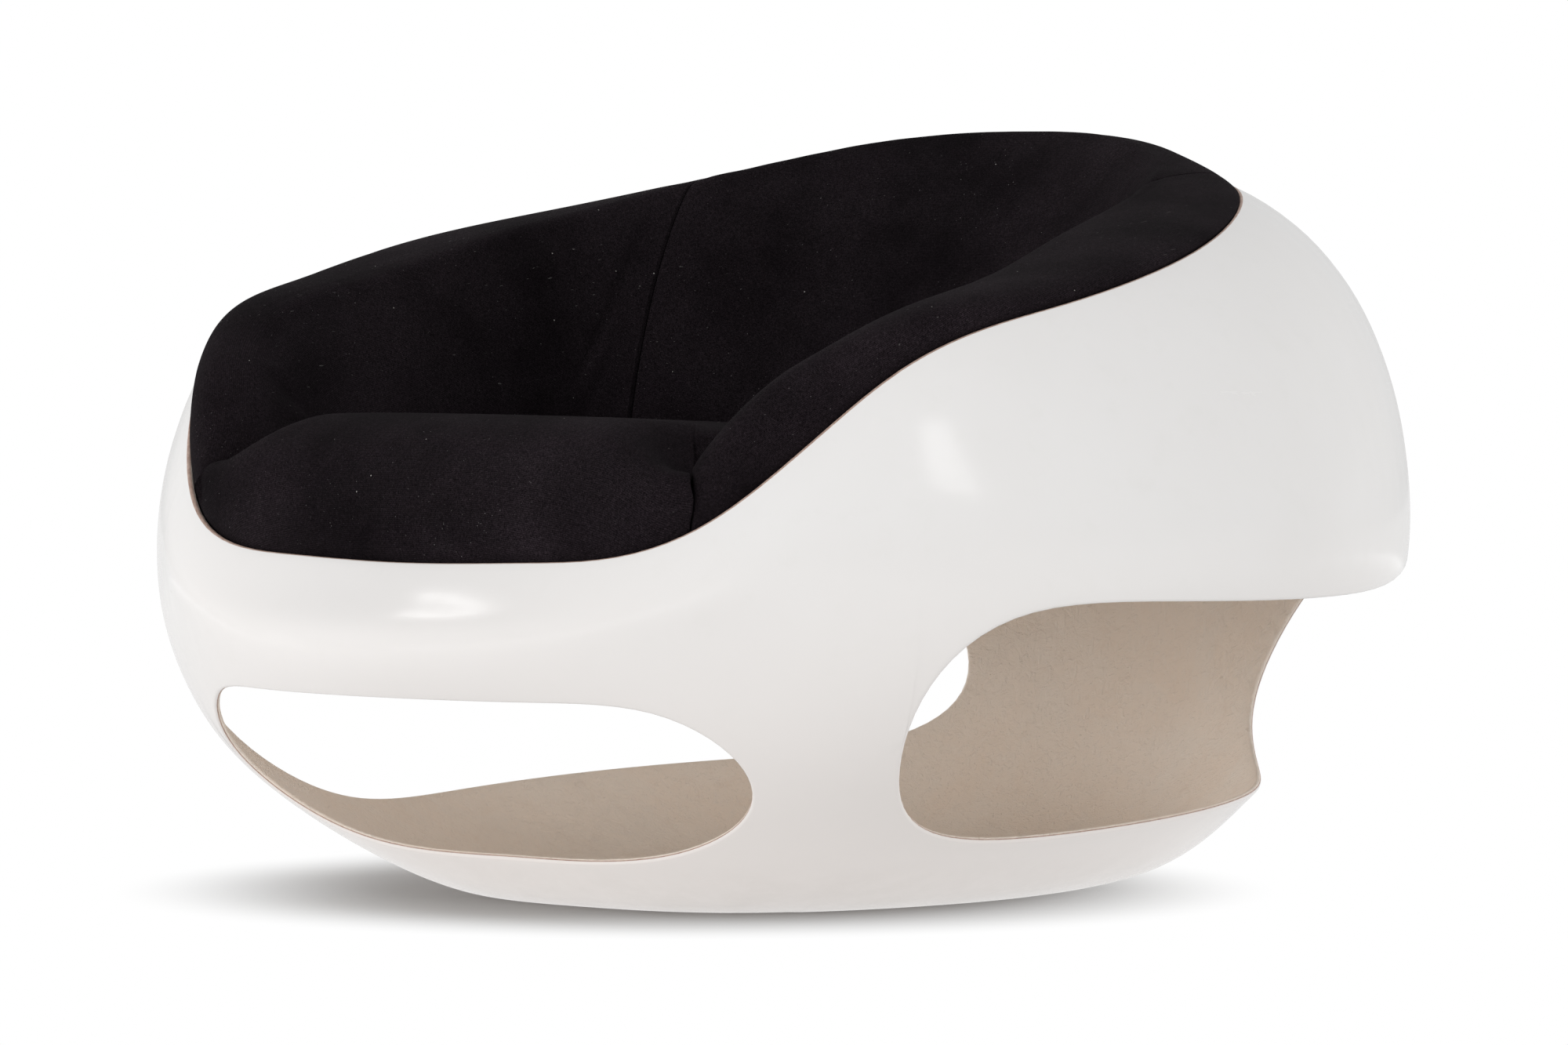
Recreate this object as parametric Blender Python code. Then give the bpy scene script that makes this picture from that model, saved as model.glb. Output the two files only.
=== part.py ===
# Fibreglass lounge chair: a ball-shaped outer moulding with three openings, a seat pan bonded
# under its lip on timber wedges, and four sewn pads. Metres, Z up, the front faces minus Y.
import math

import bmesh
import bpy
import numpy as np
from mathutils import Vector

# Plan angles run from the front (0 degrees) round to the back (180), the same on both sides.
# A row of stations holds sizes at even steps between those two.

# Outer moulding, each section a smooth curve drawn by seven guide points
WALL = 0.0055
BASE_FLAT_SHARE = 0.8
FOOT_REACH = (0.196, 0.222, 0.248, 0.346, 0.462)
BILGE_REACH = (0.283, 0.369, 0.355, 0.424, 0.536)
BILGE_HEIGHT = (0.081, 0.076, 0.043)
BELT_REACH = (0.406, 0.427, 0.513, 0.557, 0.590)
BELT_HEIGHT = (0.158, 0.168, 0.178)
SHOULDER_REACH = (0.446, 0.449, 0.569, 0.597, 0.596)
SHOULDER_HEIGHT = (0.234, 0.258, 0.304, 0.326, 0.330)
LIP_FLARE = (0.030, 0.023, 0.058, 0.104, 0.108)
LIP_DROP = (0.034, 0.046, 0.059, 0.048, 0.054)
RIM_REACH = (0.374, 0.390, 0.428, 0.432, 0.432, 0.439, 0.439, 0.441, 0.443, 0.443)
RIM_HEIGHT = (0.286, 0.289, 0.320, 0.436, 0.489, 0.526, 0.563, 0.587, 0.592, 0.591)

# Openings, as points (plan angle in degrees, height) that a closed curve runs through
FRONT_OPENING = (
    (46.0, 0.1025), (34.4, 0.1766), (20.7, 0.1835), (0.0, 0.1835), (-20.7, 0.1835), (-34.4, 0.1766),
    (-46.0, 0.1025), (-33.9, 0.0515), (0.0, 0.0425), (33.9, 0.0515),
)
SIDE_OPENING = (
    (62.1, 0.1104), (70.2, 0.2548), (86.2, 0.2626), (114.0, 0.264), (133.0, 0.288), (147.0, 0.292),
    (163.6, 0.157), (154.7, 0.088), (136.2, 0.0744), (101.0, 0.0626), (75.5, 0.0647),
)
OPENING_ANGLE_SCALE = 30.0
OPENING_HEIGHT_SCALE = 0.06

# Seat pan, bonded under the lip
GAP = 0.0003
PAD_GAP = 0.0004
PAN_WALL = 0.004
PAN_MIDDLE_HEIGHT = 0.262
PAN_EDGE_HEIGHT = (0.236, 0.242, 0.258, 0.262, 0.262, 0.262, 0.262)
PAN_FLOOR_MARGIN = 0.050
PAN_FLOOR_BLEND = 0.030
PAN_WALL_PULL = 0.35
BAND_TOP_SHARE = 0.985
BAND_LOW_SHARE = 0.955
BLOCK_LOW_SHARE = 0.90

# Pads round the back and the sides
SEAT_OUTLINE_HALF_WIDTH = 0.272
SEAT_OUTLINE_FRONT_Y = -0.350
SEAT_OUTLINE_BACK_Y = 0.230
SEAT_OUTLINE_POWER = 3.0
CREST_INSET = (0.020, 0.028, 0.034, 0.042, 0.083, 0.107, 0.094, 0.053, 0.027, 0.023)
CREST_RISE = (0.083, 0.076, 0.086, 0.044, 0.024, 0.018, 0.006, 0.011, 0.034, 0.044)
CREST_HALF_WIDTH = 0.020
CREST_INNER_DROP = 0.006
PAD_OVERHANG = -0.0025
PAD_FULLNESS = 0.75
PAD_BELLY = 0.006
SEAM_ANGLE = 38.5
BACK_SEAM_X = 0.240
BACK_SEAM_Y = 0.200
BACK_SEAM_SLANT = 0.20
SEAM_TUCK = 0.004
SEAM_WIDTH = 0.007
SEAM_STEP = 1.0

# Seat pad with its front roll
SEAT_HEIGHT_FRONT = 0.404
SEAT_FRONT_Y = -0.300
SEAT_FALL = 0.075
SEAT_SIDE_DROP = 0.010
SEAT_HALF_WIDTH = 0.250
SEAT_CROWN = 0.006
ROLL_DEPTH = 0.088
ROLL_OVERHANG = 0.0
SEAT_EDGE_DROP = 0.014
SEAT_EDGE_ROUND = 0.030

# Rounded front corners, where the seat, the roll and the side pad meet
CORNER_REACH = 0.368
CORNER_RADIUS = 0.070
CORNER_DIP = 0.045
CORNER_TIP_ROUND = 0.006
PAD_CORNER_DIP = 0.035
PAD_CORNER_SPAN = 12.0

# Timber packing wedges bonded between the pan's wall and the inside of the shell
BLOCK_ANGLES = {"front": 51.0, "side": 104.0, "rear": 158.0}
BLOCK_SIDE_INSET = 0.12
BLOCK_TOP_SHARE = 0.80
BLOCK_FOOT_SHARE = 0.05
BLOCK_GAP = 0.00045

# Steps round the plan and up the sections
FRONT_STEPS = 6
LEG_STEPS = 2
SIDE_STEPS = 16
REAR_STEPS = 3
LOWER_ROWS = 4
UPPER_ROWS = 5
PAN_ROWS = 6
PAD_OUTER_ROWS = 6
PAD_INNER_ROWS = 9
SEAT_RINGS = 3
ROLL_ROWS = 6


BENDS = {}


def around(stations, degrees):
    """Smooth value at a plan angle through evenly spaced stations, mirror symmetric."""
    count = len(stations)
    if stations not in BENDS:
        rises = np.diff(stations)
        system = 4 * np.eye(count) + np.eye(count, k=1) + np.eye(count, k=-1)
        system[0, 0] = 2
        system[-1, -1] = 2
        BENDS[stations] = np.linalg.solve(system, 6 * np.diff(rises, prepend=0.0, append=0.0))
    bends = BENDS[stations]
    where = abs((degrees + 180) % 360 - 180) / 180 * (count - 1)
    i = min(int(where), count - 2)
    b = where - i
    a = 1 - b
    value = a * stations[i] + b * stations[i + 1]
    return value + ((a ** 3 - a) * bends[i] + (b ** 3 - b) * bends[i + 1]) / 6


def seat_outline(degrees):
    """Reach of the rounded outline where the seat pad meets the pads round it."""
    middle = (SEAT_OUTLINE_FRONT_Y + SEAT_OUTLINE_BACK_Y) / 2
    half_depth = (SEAT_OUTLINE_BACK_Y - SEAT_OUTLINE_FRONT_Y) / 2
    low = 0.0
    high = 1.0
    for _ in range(30):
        reach = (low + high) / 2
        point = place(degrees, reach, 0.0)
        across = abs(point.x / SEAT_OUTLINE_HALF_WIDTH) ** SEAT_OUTLINE_POWER
        along = abs((point.y - middle) / half_depth) ** SEAT_OUTLINE_POWER
        if across + along < 1:
            low = reach
        else:
            high = reach
    return reach


def section_weights(u):
    """Weights of the seven guide rows of the outer section at u from 0 (base) to 1 (rim)."""
    knots = (0, 0, 0, 0, 0.25, 0.5, 0.75, 1, 1, 1, 1)
    u = min(max(u, 0.0), 1.0 - 1e-12)
    weights = [1.0 if knots[i] <= u < knots[i + 1] else 0.0 for i in range(10)]
    for degree in (1, 2, 3):
        for i in range(10 - degree):
            rise = knots[i + degree] - knots[i]
            fall = knots[i + degree + 1] - knots[i + 1]
            left = (u - knots[i]) / rise * weights[i] if rise else 0.0
            right = (knots[i + degree + 1] - u) / fall * weights[i + 1] if fall else 0.0
            weights[i] = left + right
    return np.array(weights[:7])


def guide_rows(degrees):
    """Reach and height of the guide rows at a plan angle."""
    foot = around(FOOT_REACH, degrees)
    rim_reach = around(RIM_REACH, degrees)
    rim_height = around(RIM_HEIGHT, degrees)
    return np.array((
        (foot * BASE_FLAT_SHARE, 0.0),
        (foot, 0.0),
        (around(BILGE_REACH, degrees), around(BILGE_HEIGHT, degrees)),
        (around(BELT_REACH, degrees), around(BELT_HEIGHT, degrees)),
        (around(SHOULDER_REACH, degrees), around(SHOULDER_HEIGHT, degrees)),
        (rim_reach + around(LIP_FLARE, degrees), rim_height - around(LIP_DROP, degrees)),
        (rim_reach, rim_height),
    ))


def place(degrees, reach, height):
    """Point at a plan angle, a reach from the axis and a height."""
    turn = math.radians(degrees)
    return Vector((reach * math.sin(turn), -reach * math.cos(turn), height))


def shell_point(degrees, u):
    reach, height = section_weights(u) @ guide_rows(degrees)
    return place(degrees, reach, height)


def shell_normal(degrees, u):
    """Outward normal of the outer face."""
    low = max(u - 0.004, 0.0)
    high = min(u + 0.004, 1.0)
    up = shell_point(degrees, high) - shell_point(degrees, low)
    along = shell_point(degrees + 0.4, u) - shell_point(degrees - 0.4, u)
    return along.cross(up).normalized()


def shell_inner(degrees, u, depth=WALL):
    """Point under the outer face by a depth, kept in the same upright plan plane."""
    normal = shell_normal(degrees, u)
    side = place(degrees + 90, 1.0, 0.0)
    flat = (normal - side * normal.dot(side)).normalized()
    return shell_point(degrees, u) - flat * (depth / normal.dot(flat))


def closed_curve(points, count):
    """Closed cubic through points, spaced by the root of their distances."""
    scale = np.array((1 / OPENING_ANGLE_SCALE, 1 / OPENING_HEIGHT_SCALE))
    ring = np.array(points) * scale
    size = len(ring)
    ahead = np.roll(ring, -1, axis=0) - ring
    gaps = np.sqrt(np.sqrt((ahead ** 2).sum(axis=1)))
    system = np.zeros((size, size))
    target = np.zeros((size, 2))
    for i in range(size):
        before = gaps[i - 1]
        after = gaps[i]
        system[i, i - 1] += before
        system[i, i] += 2 * (before + after)
        system[i, (i + 1) % size] += after
        target[i] = 6 * (ahead[i] / after - ahead[i - 1] / before)
    bend = np.linalg.solve(system, target)
    starts = np.concatenate(((0,), np.cumsum(gaps)))
    curve = []
    for step in range(count):
        t = starts[-1] * step / count
        i = min(int(np.searchsorted(starts, t, side="right")) - 1, size - 1)
        j = (i + 1) % size
        h = gaps[i]
        a = (starts[i + 1] - t) / h
        b = 1 - a
        value = a * ring[i] + b * ring[j]
        value = value + ((a ** 3 - a) * bend[i] + (b ** 3 - b) * bend[j]) * h * h / 6
        curve.append(value / scale)
    return np.array(curve)


def opening_edges(points):
    """Ends, lower edge and upper edge of an opening as functions of the plan angle."""
    curve = closed_curve(points, 480)
    first = int(curve[:, 0].argmin())
    curve = np.roll(curve, -first, axis=0)
    last = int(curve[:, 0].argmax())
    one = curve[:last + 1]
    two = np.vstack((curve[last:], curve[:1]))[::-1]
    lower, upper = (one, two) if one[:, 1].mean() < two[:, 1].mean() else (two, one)
    return lower, upper


def height_to_u(degrees, height):
    """Section position of a height on the outer face."""
    steps = np.linspace(0.0, 1.0, 241)
    rows = guide_rows(degrees)
    heights = [float(section_weights(u) @ rows[:, 1]) for u in steps]
    return float(np.interp(height, heights, steps))


def plan_columns():
    """Every column: plan angle, section position of its lower and upper band edge, and opening."""
    front_low, front_high = opening_edges(FRONT_OPENING)
    side_low, side_high = opening_edges(SIDE_OPENING)
    front_end = float(front_low[:, 0].max())
    side_start = float(side_low[:, 0].min())
    side_end = float(side_low[:, 0].max())
    half = []
    for k in range(FRONT_STEPS + 1):
        angle = front_end * math.sin(math.pi / 2 * k / FRONT_STEPS)
        if k == FRONT_STEPS - 2:
            half.append((SEAM_ANGLE - SEAM_STEP, "front"))
            angle = SEAM_ANGLE
        half.append((angle, "front" if k < FRONT_STEPS else "front_end"))
    for k in range(1, LEG_STEPS):
        half.append((front_end + (side_start - front_end) * k / LEG_STEPS, "leg"))
    middle = (side_start + side_end) / 2
    spread = (side_end - side_start) / 2
    for k in range(SIDE_STEPS + 1):
        angle = middle - spread * math.cos(math.pi * k / SIDE_STEPS)
        half.append((angle, "side" if 0 < k < SIDE_STEPS else "side_end"))
    for k in range(1, REAR_STEPS + 1):
        half.append((side_end + (180 - side_end) * k / REAR_STEPS, "rear"))
    front_u = height_to_u(front_end, float(front_low[-1, 1]))
    start_u = height_to_u(side_start, float(side_low[0, 1]))
    end_u = height_to_u(side_end, float(side_low[-1, 1]))
    columns = []
    for angle, kind in half:
        if kind == "front":
            low = height_to_u(angle, float(np.interp(angle, front_low[:, 0], front_low[:, 1])))
            high = height_to_u(angle, float(np.interp(angle, front_high[:, 0], front_high[:, 1])))
        elif kind == "side":
            low = height_to_u(angle, float(np.interp(angle, side_low[:, 0], side_low[:, 1])))
            high = height_to_u(angle, float(np.interp(angle, side_high[:, 0], side_high[:, 1])))
        elif kind in ("front_end", "leg") or angle <= side_start:
            low = front_u + (start_u - front_u) * (angle - front_end) / (side_start - front_end)
            high = low
        else:
            low = end_u
            high = end_u
        columns.append((angle, low, high, kind))
    mirrored = [(-c[0], c[1], c[2], c[3]) for c in columns[1:-1]]
    return mirrored[::-1] + columns


COLUMNS = plan_columns()


class Body:
    """Points and faces of one closed solid while it is put together."""

    def __init__(self):
        self.points = []
        self.faces = []

    def add(self, point):
        self.points.append(Vector(point))
        return len(self.points) - 1

    def quad(self, a, b, c, d):
        """Two triangles, split from the first corner, so facing pieces split alike."""
        self.faces.append((a, b, c))
        self.faces.append((a, c, d))

    def make(self, name, material, smooth=True):
        mesh = bpy.data.meshes.new(name)
        mesh.from_pydata([tuple(p) for p in self.points], [], self.faces)
        work = bmesh.new()
        work.from_mesh(mesh)
        bmesh.ops.remove_doubles(work, verts=work.verts, dist=2e-5)
        bmesh.ops.dissolve_degenerate(work, edges=work.edges, dist=2e-5)
        bmesh.ops.recalc_face_normals(work, faces=work.faces)
        work.to_mesh(mesh)
        work.free()
        return finish_object(name, mesh, material, smooth)


def finish_object(name, mesh, material, smooth=True):
    mesh.materials.clear()
    mesh.materials.append(material)
    for polygon in mesh.polygons:
        polygon.use_smooth = smooth
    item = bpy.data.objects.new(name, mesh)
    bpy.context.scene.collection.objects.link(item)
    return item


def make_material(name, colour, roughness, metallic=0.0, coat=0.0):
    material = bpy.data.materials.new(name)
    material.use_nodes = True
    shader = material.node_tree.nodes["Principled BSDF"]
    shader.inputs["Base Color"].default_value = (*colour, 1.0)
    shader.inputs["Roughness"].default_value = roughness
    shader.inputs["Metallic"].default_value = metallic
    shader.inputs["Coat Weight"].default_value = coat
    return material


def close_edge(body, outer, inner, normals, width):
    """Half-round edge between an outer and an inner loop of points."""
    count = len(outer)
    middle = []
    for i in range(count):
        ahead = body.points[outer[(i + 1) % count]] - body.points[outer[i - 1]]
        away = ahead.cross(normals[i]).normalized()
        centre = (body.points[outer[i]] + body.points[inner[i]]) / 2
        middle.append(body.add(centre + away * width / 2))
    for i in range(count):
        j = (i + 1) % count
        body.quad(outer[i], outer[j], middle[j], middle[i])
        body.quad(middle[i], middle[j], inner[j], inner[i])


def build_shell(material):
    """Outer moulding with its three openings."""
    body = Body()
    fixed = (BLOCK_LOW_SHARE, BAND_LOW_SHARE, BAND_TOP_SHARE, 1.0)
    low_rows = []
    high_rows = []
    for degrees, low, high, kind in COLUMNS:
        lower = [low * k / LOWER_ROWS for k in range(LOWER_ROWS + 1)]
        upper = [high + (fixed[0] - high) * k / UPPER_ROWS for k in range(UPPER_ROWS)]
        upper += list(fixed)
        column_low = []
        for u in lower:
            column_low.append((body.add(shell_point(degrees, u)), body.add(shell_inner(degrees, u)), u))
        column_high = []
        for k, u in enumerate(upper):
            if k == 0 and kind not in ("front", "side"):
                column_high.append(column_low[-1])
            else:
                pair = (body.add(shell_point(degrees, u)), body.add(shell_inner(degrees, u)), u)
                column_high.append(pair)
        low_rows.append(column_low)
        high_rows.append(column_high)
    count = len(COLUMNS)
    for band in (low_rows, high_rows):
        for j in range(count):
            here = band[j]
            there = band[(j + 1) % count]
            for k in range(len(here) - 1):
                body.quad(here[k][0], there[k][0], there[k + 1][0], here[k + 1][0])
                body.quad(here[k][1], here[k + 1][1], there[k + 1][1], there[k][1])
    middle_y = (around(FOOT_REACH, 180) - around(FOOT_REACH, 0)) * BASE_FLAT_SHARE / 2
    below = body.add((0.0, middle_y, 0.0))
    above = body.add((0.0, middle_y, WALL))
    for j in range(count):
        k = (j + 1) % count
        body.faces.append((below, low_rows[k][0][0], low_rows[j][0][0]))
        body.faces.append((above, low_rows[j][0][1], low_rows[k][0][1]))
    add_opening_edges(body, low_rows, high_rows)
    rim = [high_rows[j][-1] for j in range(count)]
    normals = [shell_normal(COLUMNS[j][0], 1.0) for j in range(count)]
    close_edge(body, [p[0] for p in rim][::-1], [p[1] for p in rim][::-1], normals[::-1], WALL)
    return body.make("outer_shell", material)


def add_opening_edges(body, low_rows, high_rows):
    """Rounded edge round each opening."""
    count = len(COLUMNS)
    j = 0
    runs = []
    kinds = [c[3] for c in COLUMNS]
    while j < count:
        if kinds[j] in ("front", "side"):
            start = j
            while kinds[j] == kinds[start]:
                j += 1
            runs.append((start - 1, j))
        else:
            j += 1
    for start, end in runs:
        outer = []
        inner = []
        normals = []
        for k in range(start, end + 1):
            outer.append(low_rows[k][-1][0])
            inner.append(low_rows[k][-1][1])
            normals.append(shell_normal(COLUMNS[k][0], low_rows[k][-1][2]))
        for k in range(end - 1, start, -1):
            outer.append(high_rows[k][0][0])
            inner.append(high_rows[k][0][1])
            normals.append(shell_normal(COLUMNS[k][0], high_rows[k][0][2]))
        close_edge(body, outer[::-1], inner[::-1], normals[::-1], WALL)


def blend(a, b, t):
    return a + (b - a) * t


def pan_floor(degrees, reach, lift=0.0):
    """Height of the pan's underside, or of a face lifted from it, inside its floor edge."""
    edge = seat_outline(degrees) + PAN_FLOOR_MARGIN - PAN_FLOOR_BLEND
    return blend(PAN_MIDDLE_HEIGHT, around(PAN_EDGE_HEIGHT, degrees), reach / edge) + lift


def pan_section(degrees, lift=0.0):
    """Outer face of the pan, or a face lifted inward from it, from its top edge to the floor."""
    top = shell_inner(degrees, BAND_TOP_SHARE, WALL + GAP + lift)
    low = shell_inner(degrees, BAND_LOW_SHARE, WALL + GAP + lift)
    start = np.array((math.hypot(low.x, low.y), low.z))
    floor = seat_outline(degrees) + PAN_FLOOR_MARGIN
    level = around(PAN_EDGE_HEIGHT, degrees) + lift
    corner = np.array((floor - lift * 0.7, level))
    end = np.array((floor - PAN_FLOOR_BLEND, level))
    pull = np.array((blend(start[0], corner[0], 0.05), blend(start[1], level, PAN_WALL_PULL)))
    points = [(math.hypot(top.x, top.y), top.z)]
    for k in range(PAN_ROWS + 1):
        t = k / PAN_ROWS
        value = (1 - t) ** 3 * start + 3 * t * (1 - t) ** 2 * pull
        value = value + 3 * t * t * (1 - t) * corner + t ** 3 * end
        points.append((float(value[0]), float(value[1])))
    return points


def build_pan(material):
    """Seat pan that carries the pads."""
    body = Body()
    outer = []
    inner = []
    for degrees, _, _, _ in COLUMNS:
        outer.append([body.add(place(degrees, *p)) for p in pan_section(degrees)])
        inner.append([body.add(place(degrees, *p)) for p in pan_section(degrees, PAN_WALL)])
    count = len(COLUMNS)
    below = body.add((0.0, 0.0, PAN_MIDDLE_HEIGHT))
    above = body.add((0.0, 0.0, PAN_MIDDLE_HEIGHT + PAN_WALL))
    for j in range(count):
        n = (j + 1) % count
        for k in range(len(outer[j]) - 1):
            body.quad(outer[n][k], outer[j][k], outer[j][k + 1], outer[n][k + 1])
            body.quad(inner[n][k], inner[n][k + 1], inner[j][k + 1], inner[j][k])
        body.quad(outer[j][0], outer[n][0], inner[n][0], inner[j][0])
        body.faces.append((below, outer[n][-1], outer[j][-1]))
        body.faces.append((above, inner[j][-1], inner[n][-1]))
    return body.make("seat_pan", material)


def lip_path(degrees):
    """Way of the cloth past the shell's rounded lip, as reach and height."""
    path = []
    for depth, lift in ((WALL + GAP, 0.0), (WALL + GAP, WALL * 0.6), (WALL * 0.62, WALL * 0.8)):
        along = (shell_inner(degrees, 1.0, depth) - shell_inner(degrees, 0.99, depth)).normalized()
        point = shell_inner(degrees, 1.0, depth) + along * lift
        path.append((math.hypot(point.x, point.y), point.z))
    return path


def pan_face(degrees):
    """Inner face of the pan from its floor end up to its top edge, kept a gap away."""
    return pan_section(degrees, PAN_WALL + PAD_GAP)[::-1]


def smooth_path(keys, count):
    """Rounded path through key points, count steps long."""
    keys = [np.array(k) for k in keys]
    padded = [2 * keys[0] - keys[1]] + keys + [2 * keys[-1] - keys[-2]]
    path = []
    pieces = len(keys) - 1
    for step in range(count + 1):
        t = pieces * step / count
        i = min(int(t), pieces - 1)
        s = t - i
        a, b, c, d = padded[i:i + 4]
        value = 0.5 * (2 * b + (c - a) * s + (2 * a - 5 * b + 4 * c - d) * s * s
                       + (3 * b - a - 3 * c + d) * s ** 3)
        path.append((float(value[0]), float(value[1])))
    return path


def corner_dip(point):
    """How far the cloth falls towards a front corner, at a place in plan."""
    corner = place(SEAM_ANGLE, CORNER_REACH, 0.0)
    away = math.hypot(abs(point.x) - corner.x, point.y - corner.y, CORNER_TIP_ROUND)
    return CORNER_DIP * max(1 - away / CORNER_RADIUS, 0.0) ** 2


def seat_height(point):
    """Top of the seat pad at a place in plan."""
    back = max(point.y - SEAT_FRONT_Y, 0.0)
    side = SEAT_SIDE_DROP * (point.x / SEAT_HALF_WIDTH) ** 4
    return SEAT_HEIGHT_FRONT - SEAT_FALL * back - side - corner_dip(point)


def pad_section(degrees):
    """Closed section of the back and side pads at a plan angle."""
    lip = lip_path(degrees)
    lip_reach, lip_height = lip[-1]
    rim_reach = around(RIM_REACH, degrees)
    rim_height = around(RIM_HEIGHT, degrees)
    crest = rim_reach - around(CREST_INSET, degrees)
    beyond = abs((degrees + 180) % 360 - 180) - SEAM_ANGLE
    dip = PAD_CORNER_DIP * min(max(1 - beyond / PAD_CORNER_SPAN, 0.0), 1.0) ** 2
    top = rim_height + around(CREST_RISE, degrees) - dip
    foot = seat_outline(degrees)
    seat = seat_height(place(degrees, foot, 0.0)) - SEAT_EDGE_DROP
    outer = max(rim_reach + PAD_OVERHANG, lip_reach)
    shelf = []
    for k in range(PAD_OUTER_ROWS):
        turn = math.pi / 2 * k / PAD_OUTER_ROWS
        reach = crest + (outer - crest) * math.cos(turn) ** PAD_FULLNESS
        shelf.append((reach, lip_height + (top - lip_height) * math.sin(turn) ** PAD_FULLNESS))
    inside = crest - CREST_HALF_WIDTH
    drop = top - CREST_INNER_DROP
    keys = (
        (crest, top),
        (inside, drop),
        (blend(inside, foot, 0.30) - PAD_BELLY, blend(drop, seat, 0.26)),
        (blend(inside, foot, 0.66) - PAD_BELLY, blend(drop, seat, 0.63)),
        (foot + 0.001, seat + 0.012),
        (foot, seat),
    )
    floor = pan_floor(degrees, foot, PAN_WALL + PAD_GAP)
    face = [(max(reach, foot), height) for reach, height in smooth_path(keys, PAD_INNER_ROWS)]
    return pan_face(degrees) + lip + shelf[1:] + face + [(foot, floor)]


def ring_body(first, last):
    """Pad ring from one plan angle round the back to another, closed at its two ends."""
    body = Body()
    angles = [c[0] % 360 for c in COLUMNS if first < c[0] % 360 < last]
    angles = [first] + sorted(angles) + [last]
    rows = [[body.add(place(a, *p)) for p in pad_section(a)] for a in angles]
    size = len(rows[0])
    for here, there in zip(rows, rows[1:]):
        for k in range(size):
            n = (k + 1) % size
            body.quad(here[k], there[k], there[n], here[n])
    body.faces.append(tuple(rows[0]))
    body.faces.append(tuple(reversed(rows[-1])))
    return body


def cut_away(work, point, direction):
    """Keep the part of a closed body that lies along a direction from a point, and cap it."""
    parts = work.verts[:] + work.edges[:] + work.faces[:]
    result = bmesh.ops.bisect_plane(work, geom=parts, dist=1e-6, plane_co=point,
                                    plane_no=direction, clear_inner=True)
    edges = [e for e in result["geom_cut"] if isinstance(e, bmesh.types.BMEdge)]
    bmesh.ops.holes_fill(work, edges=edges, sides=0)


def tuck_ends(work, planes):
    """Draw the cloth in beside each seam, only where it is clear of the pan and lip."""
    for vertex in work.verts:
        for point, direction in planes:
            away = (vertex.co - point).dot(direction)
            plan = Vector((vertex.co.x, vertex.co.y, 0.0))
            degrees = math.degrees(math.atan2(plan.x, -plan.y))
            free = vertex.co.z > around(RIM_HEIGHT, degrees) + 0.004
            inside = plan.length < around(RIM_REACH, degrees) - 0.06 and vertex.co.z > 0.41
            if abs(away) < 1e-5 and (free or inside):
                lip = place(degrees, around(RIM_REACH, degrees) - 0.03, around(RIM_HEIGHT, degrees) - 0.02)
                inward = lip - vertex.co
                inward -= direction * inward.dot(direction)
                vertex.co += inward.normalized() * SEAM_TUCK


def build_ring_pad(name, cuts, material):
    """One pad of the ring, between cutting planes given as points and kept directions."""
    base = ring_body(SEAM_ANGLE - 3.0, 360 - SEAM_ANGLE + 3.0)
    mesh = bpy.data.meshes.new(name)
    mesh.from_pydata([tuple(p) for p in base.points], [], base.faces)
    work = bmesh.new()
    work.from_mesh(mesh)
    bmesh.ops.remove_doubles(work, verts=work.verts, dist=2e-5)
    bmesh.ops.recalc_face_normals(work, faces=work.faces)
    seams = []
    for point, direction, is_seam in cuts:
        if is_seam:
            shoulder = point + direction * SEAM_WIDTH
            parts = work.verts[:] + work.edges[:] + work.faces[:]
            bmesh.ops.bisect_plane(work, geom=parts, dist=1e-6, plane_co=shoulder, plane_no=direction)
            seams.append((point, direction))
        cut_away(work, point, direction)
    tuck_ends(work, seams)
    bmesh.ops.triangulate(work, faces=[f for f in work.faces if len(f.verts) > 4])
    bmesh.ops.recalc_face_normals(work, faces=work.faces)
    work.to_mesh(mesh)
    work.free()
    return finish_object(name, mesh, material)


def seam_planes(side):
    """Front and rear seam of a side pad: a point and the direction into the pad."""
    turn = math.radians(SEAM_ANGLE)
    front = Vector((side * math.cos(turn), math.sin(turn), 0.0))
    rear = Vector((side, -BACK_SEAM_SLANT, 0.0)).normalized()
    front_point = front * GAP / 2
    rear_point = Vector((side * BACK_SEAM_X, BACK_SEAM_Y, 0.0)) + rear * GAP / 2
    return (front_point, front), (rear_point, rear)


def build_side_pad(name, side, material):
    front, rear = seam_planes(side)
    return build_ring_pad(name, ((*front, True), (*rear, True)), material)


def build_back_pad(material):
    cuts = [(Vector((0.0, 0.05, 0.0)), Vector((0.0, 1.0, 0.0)), False)]
    for side in (1, -1):
        point, direction = seam_planes(side)[1]
        cuts.append((point - direction * GAP, -direction, True))
    return build_ring_pad("back_pad", cuts, material)


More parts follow.
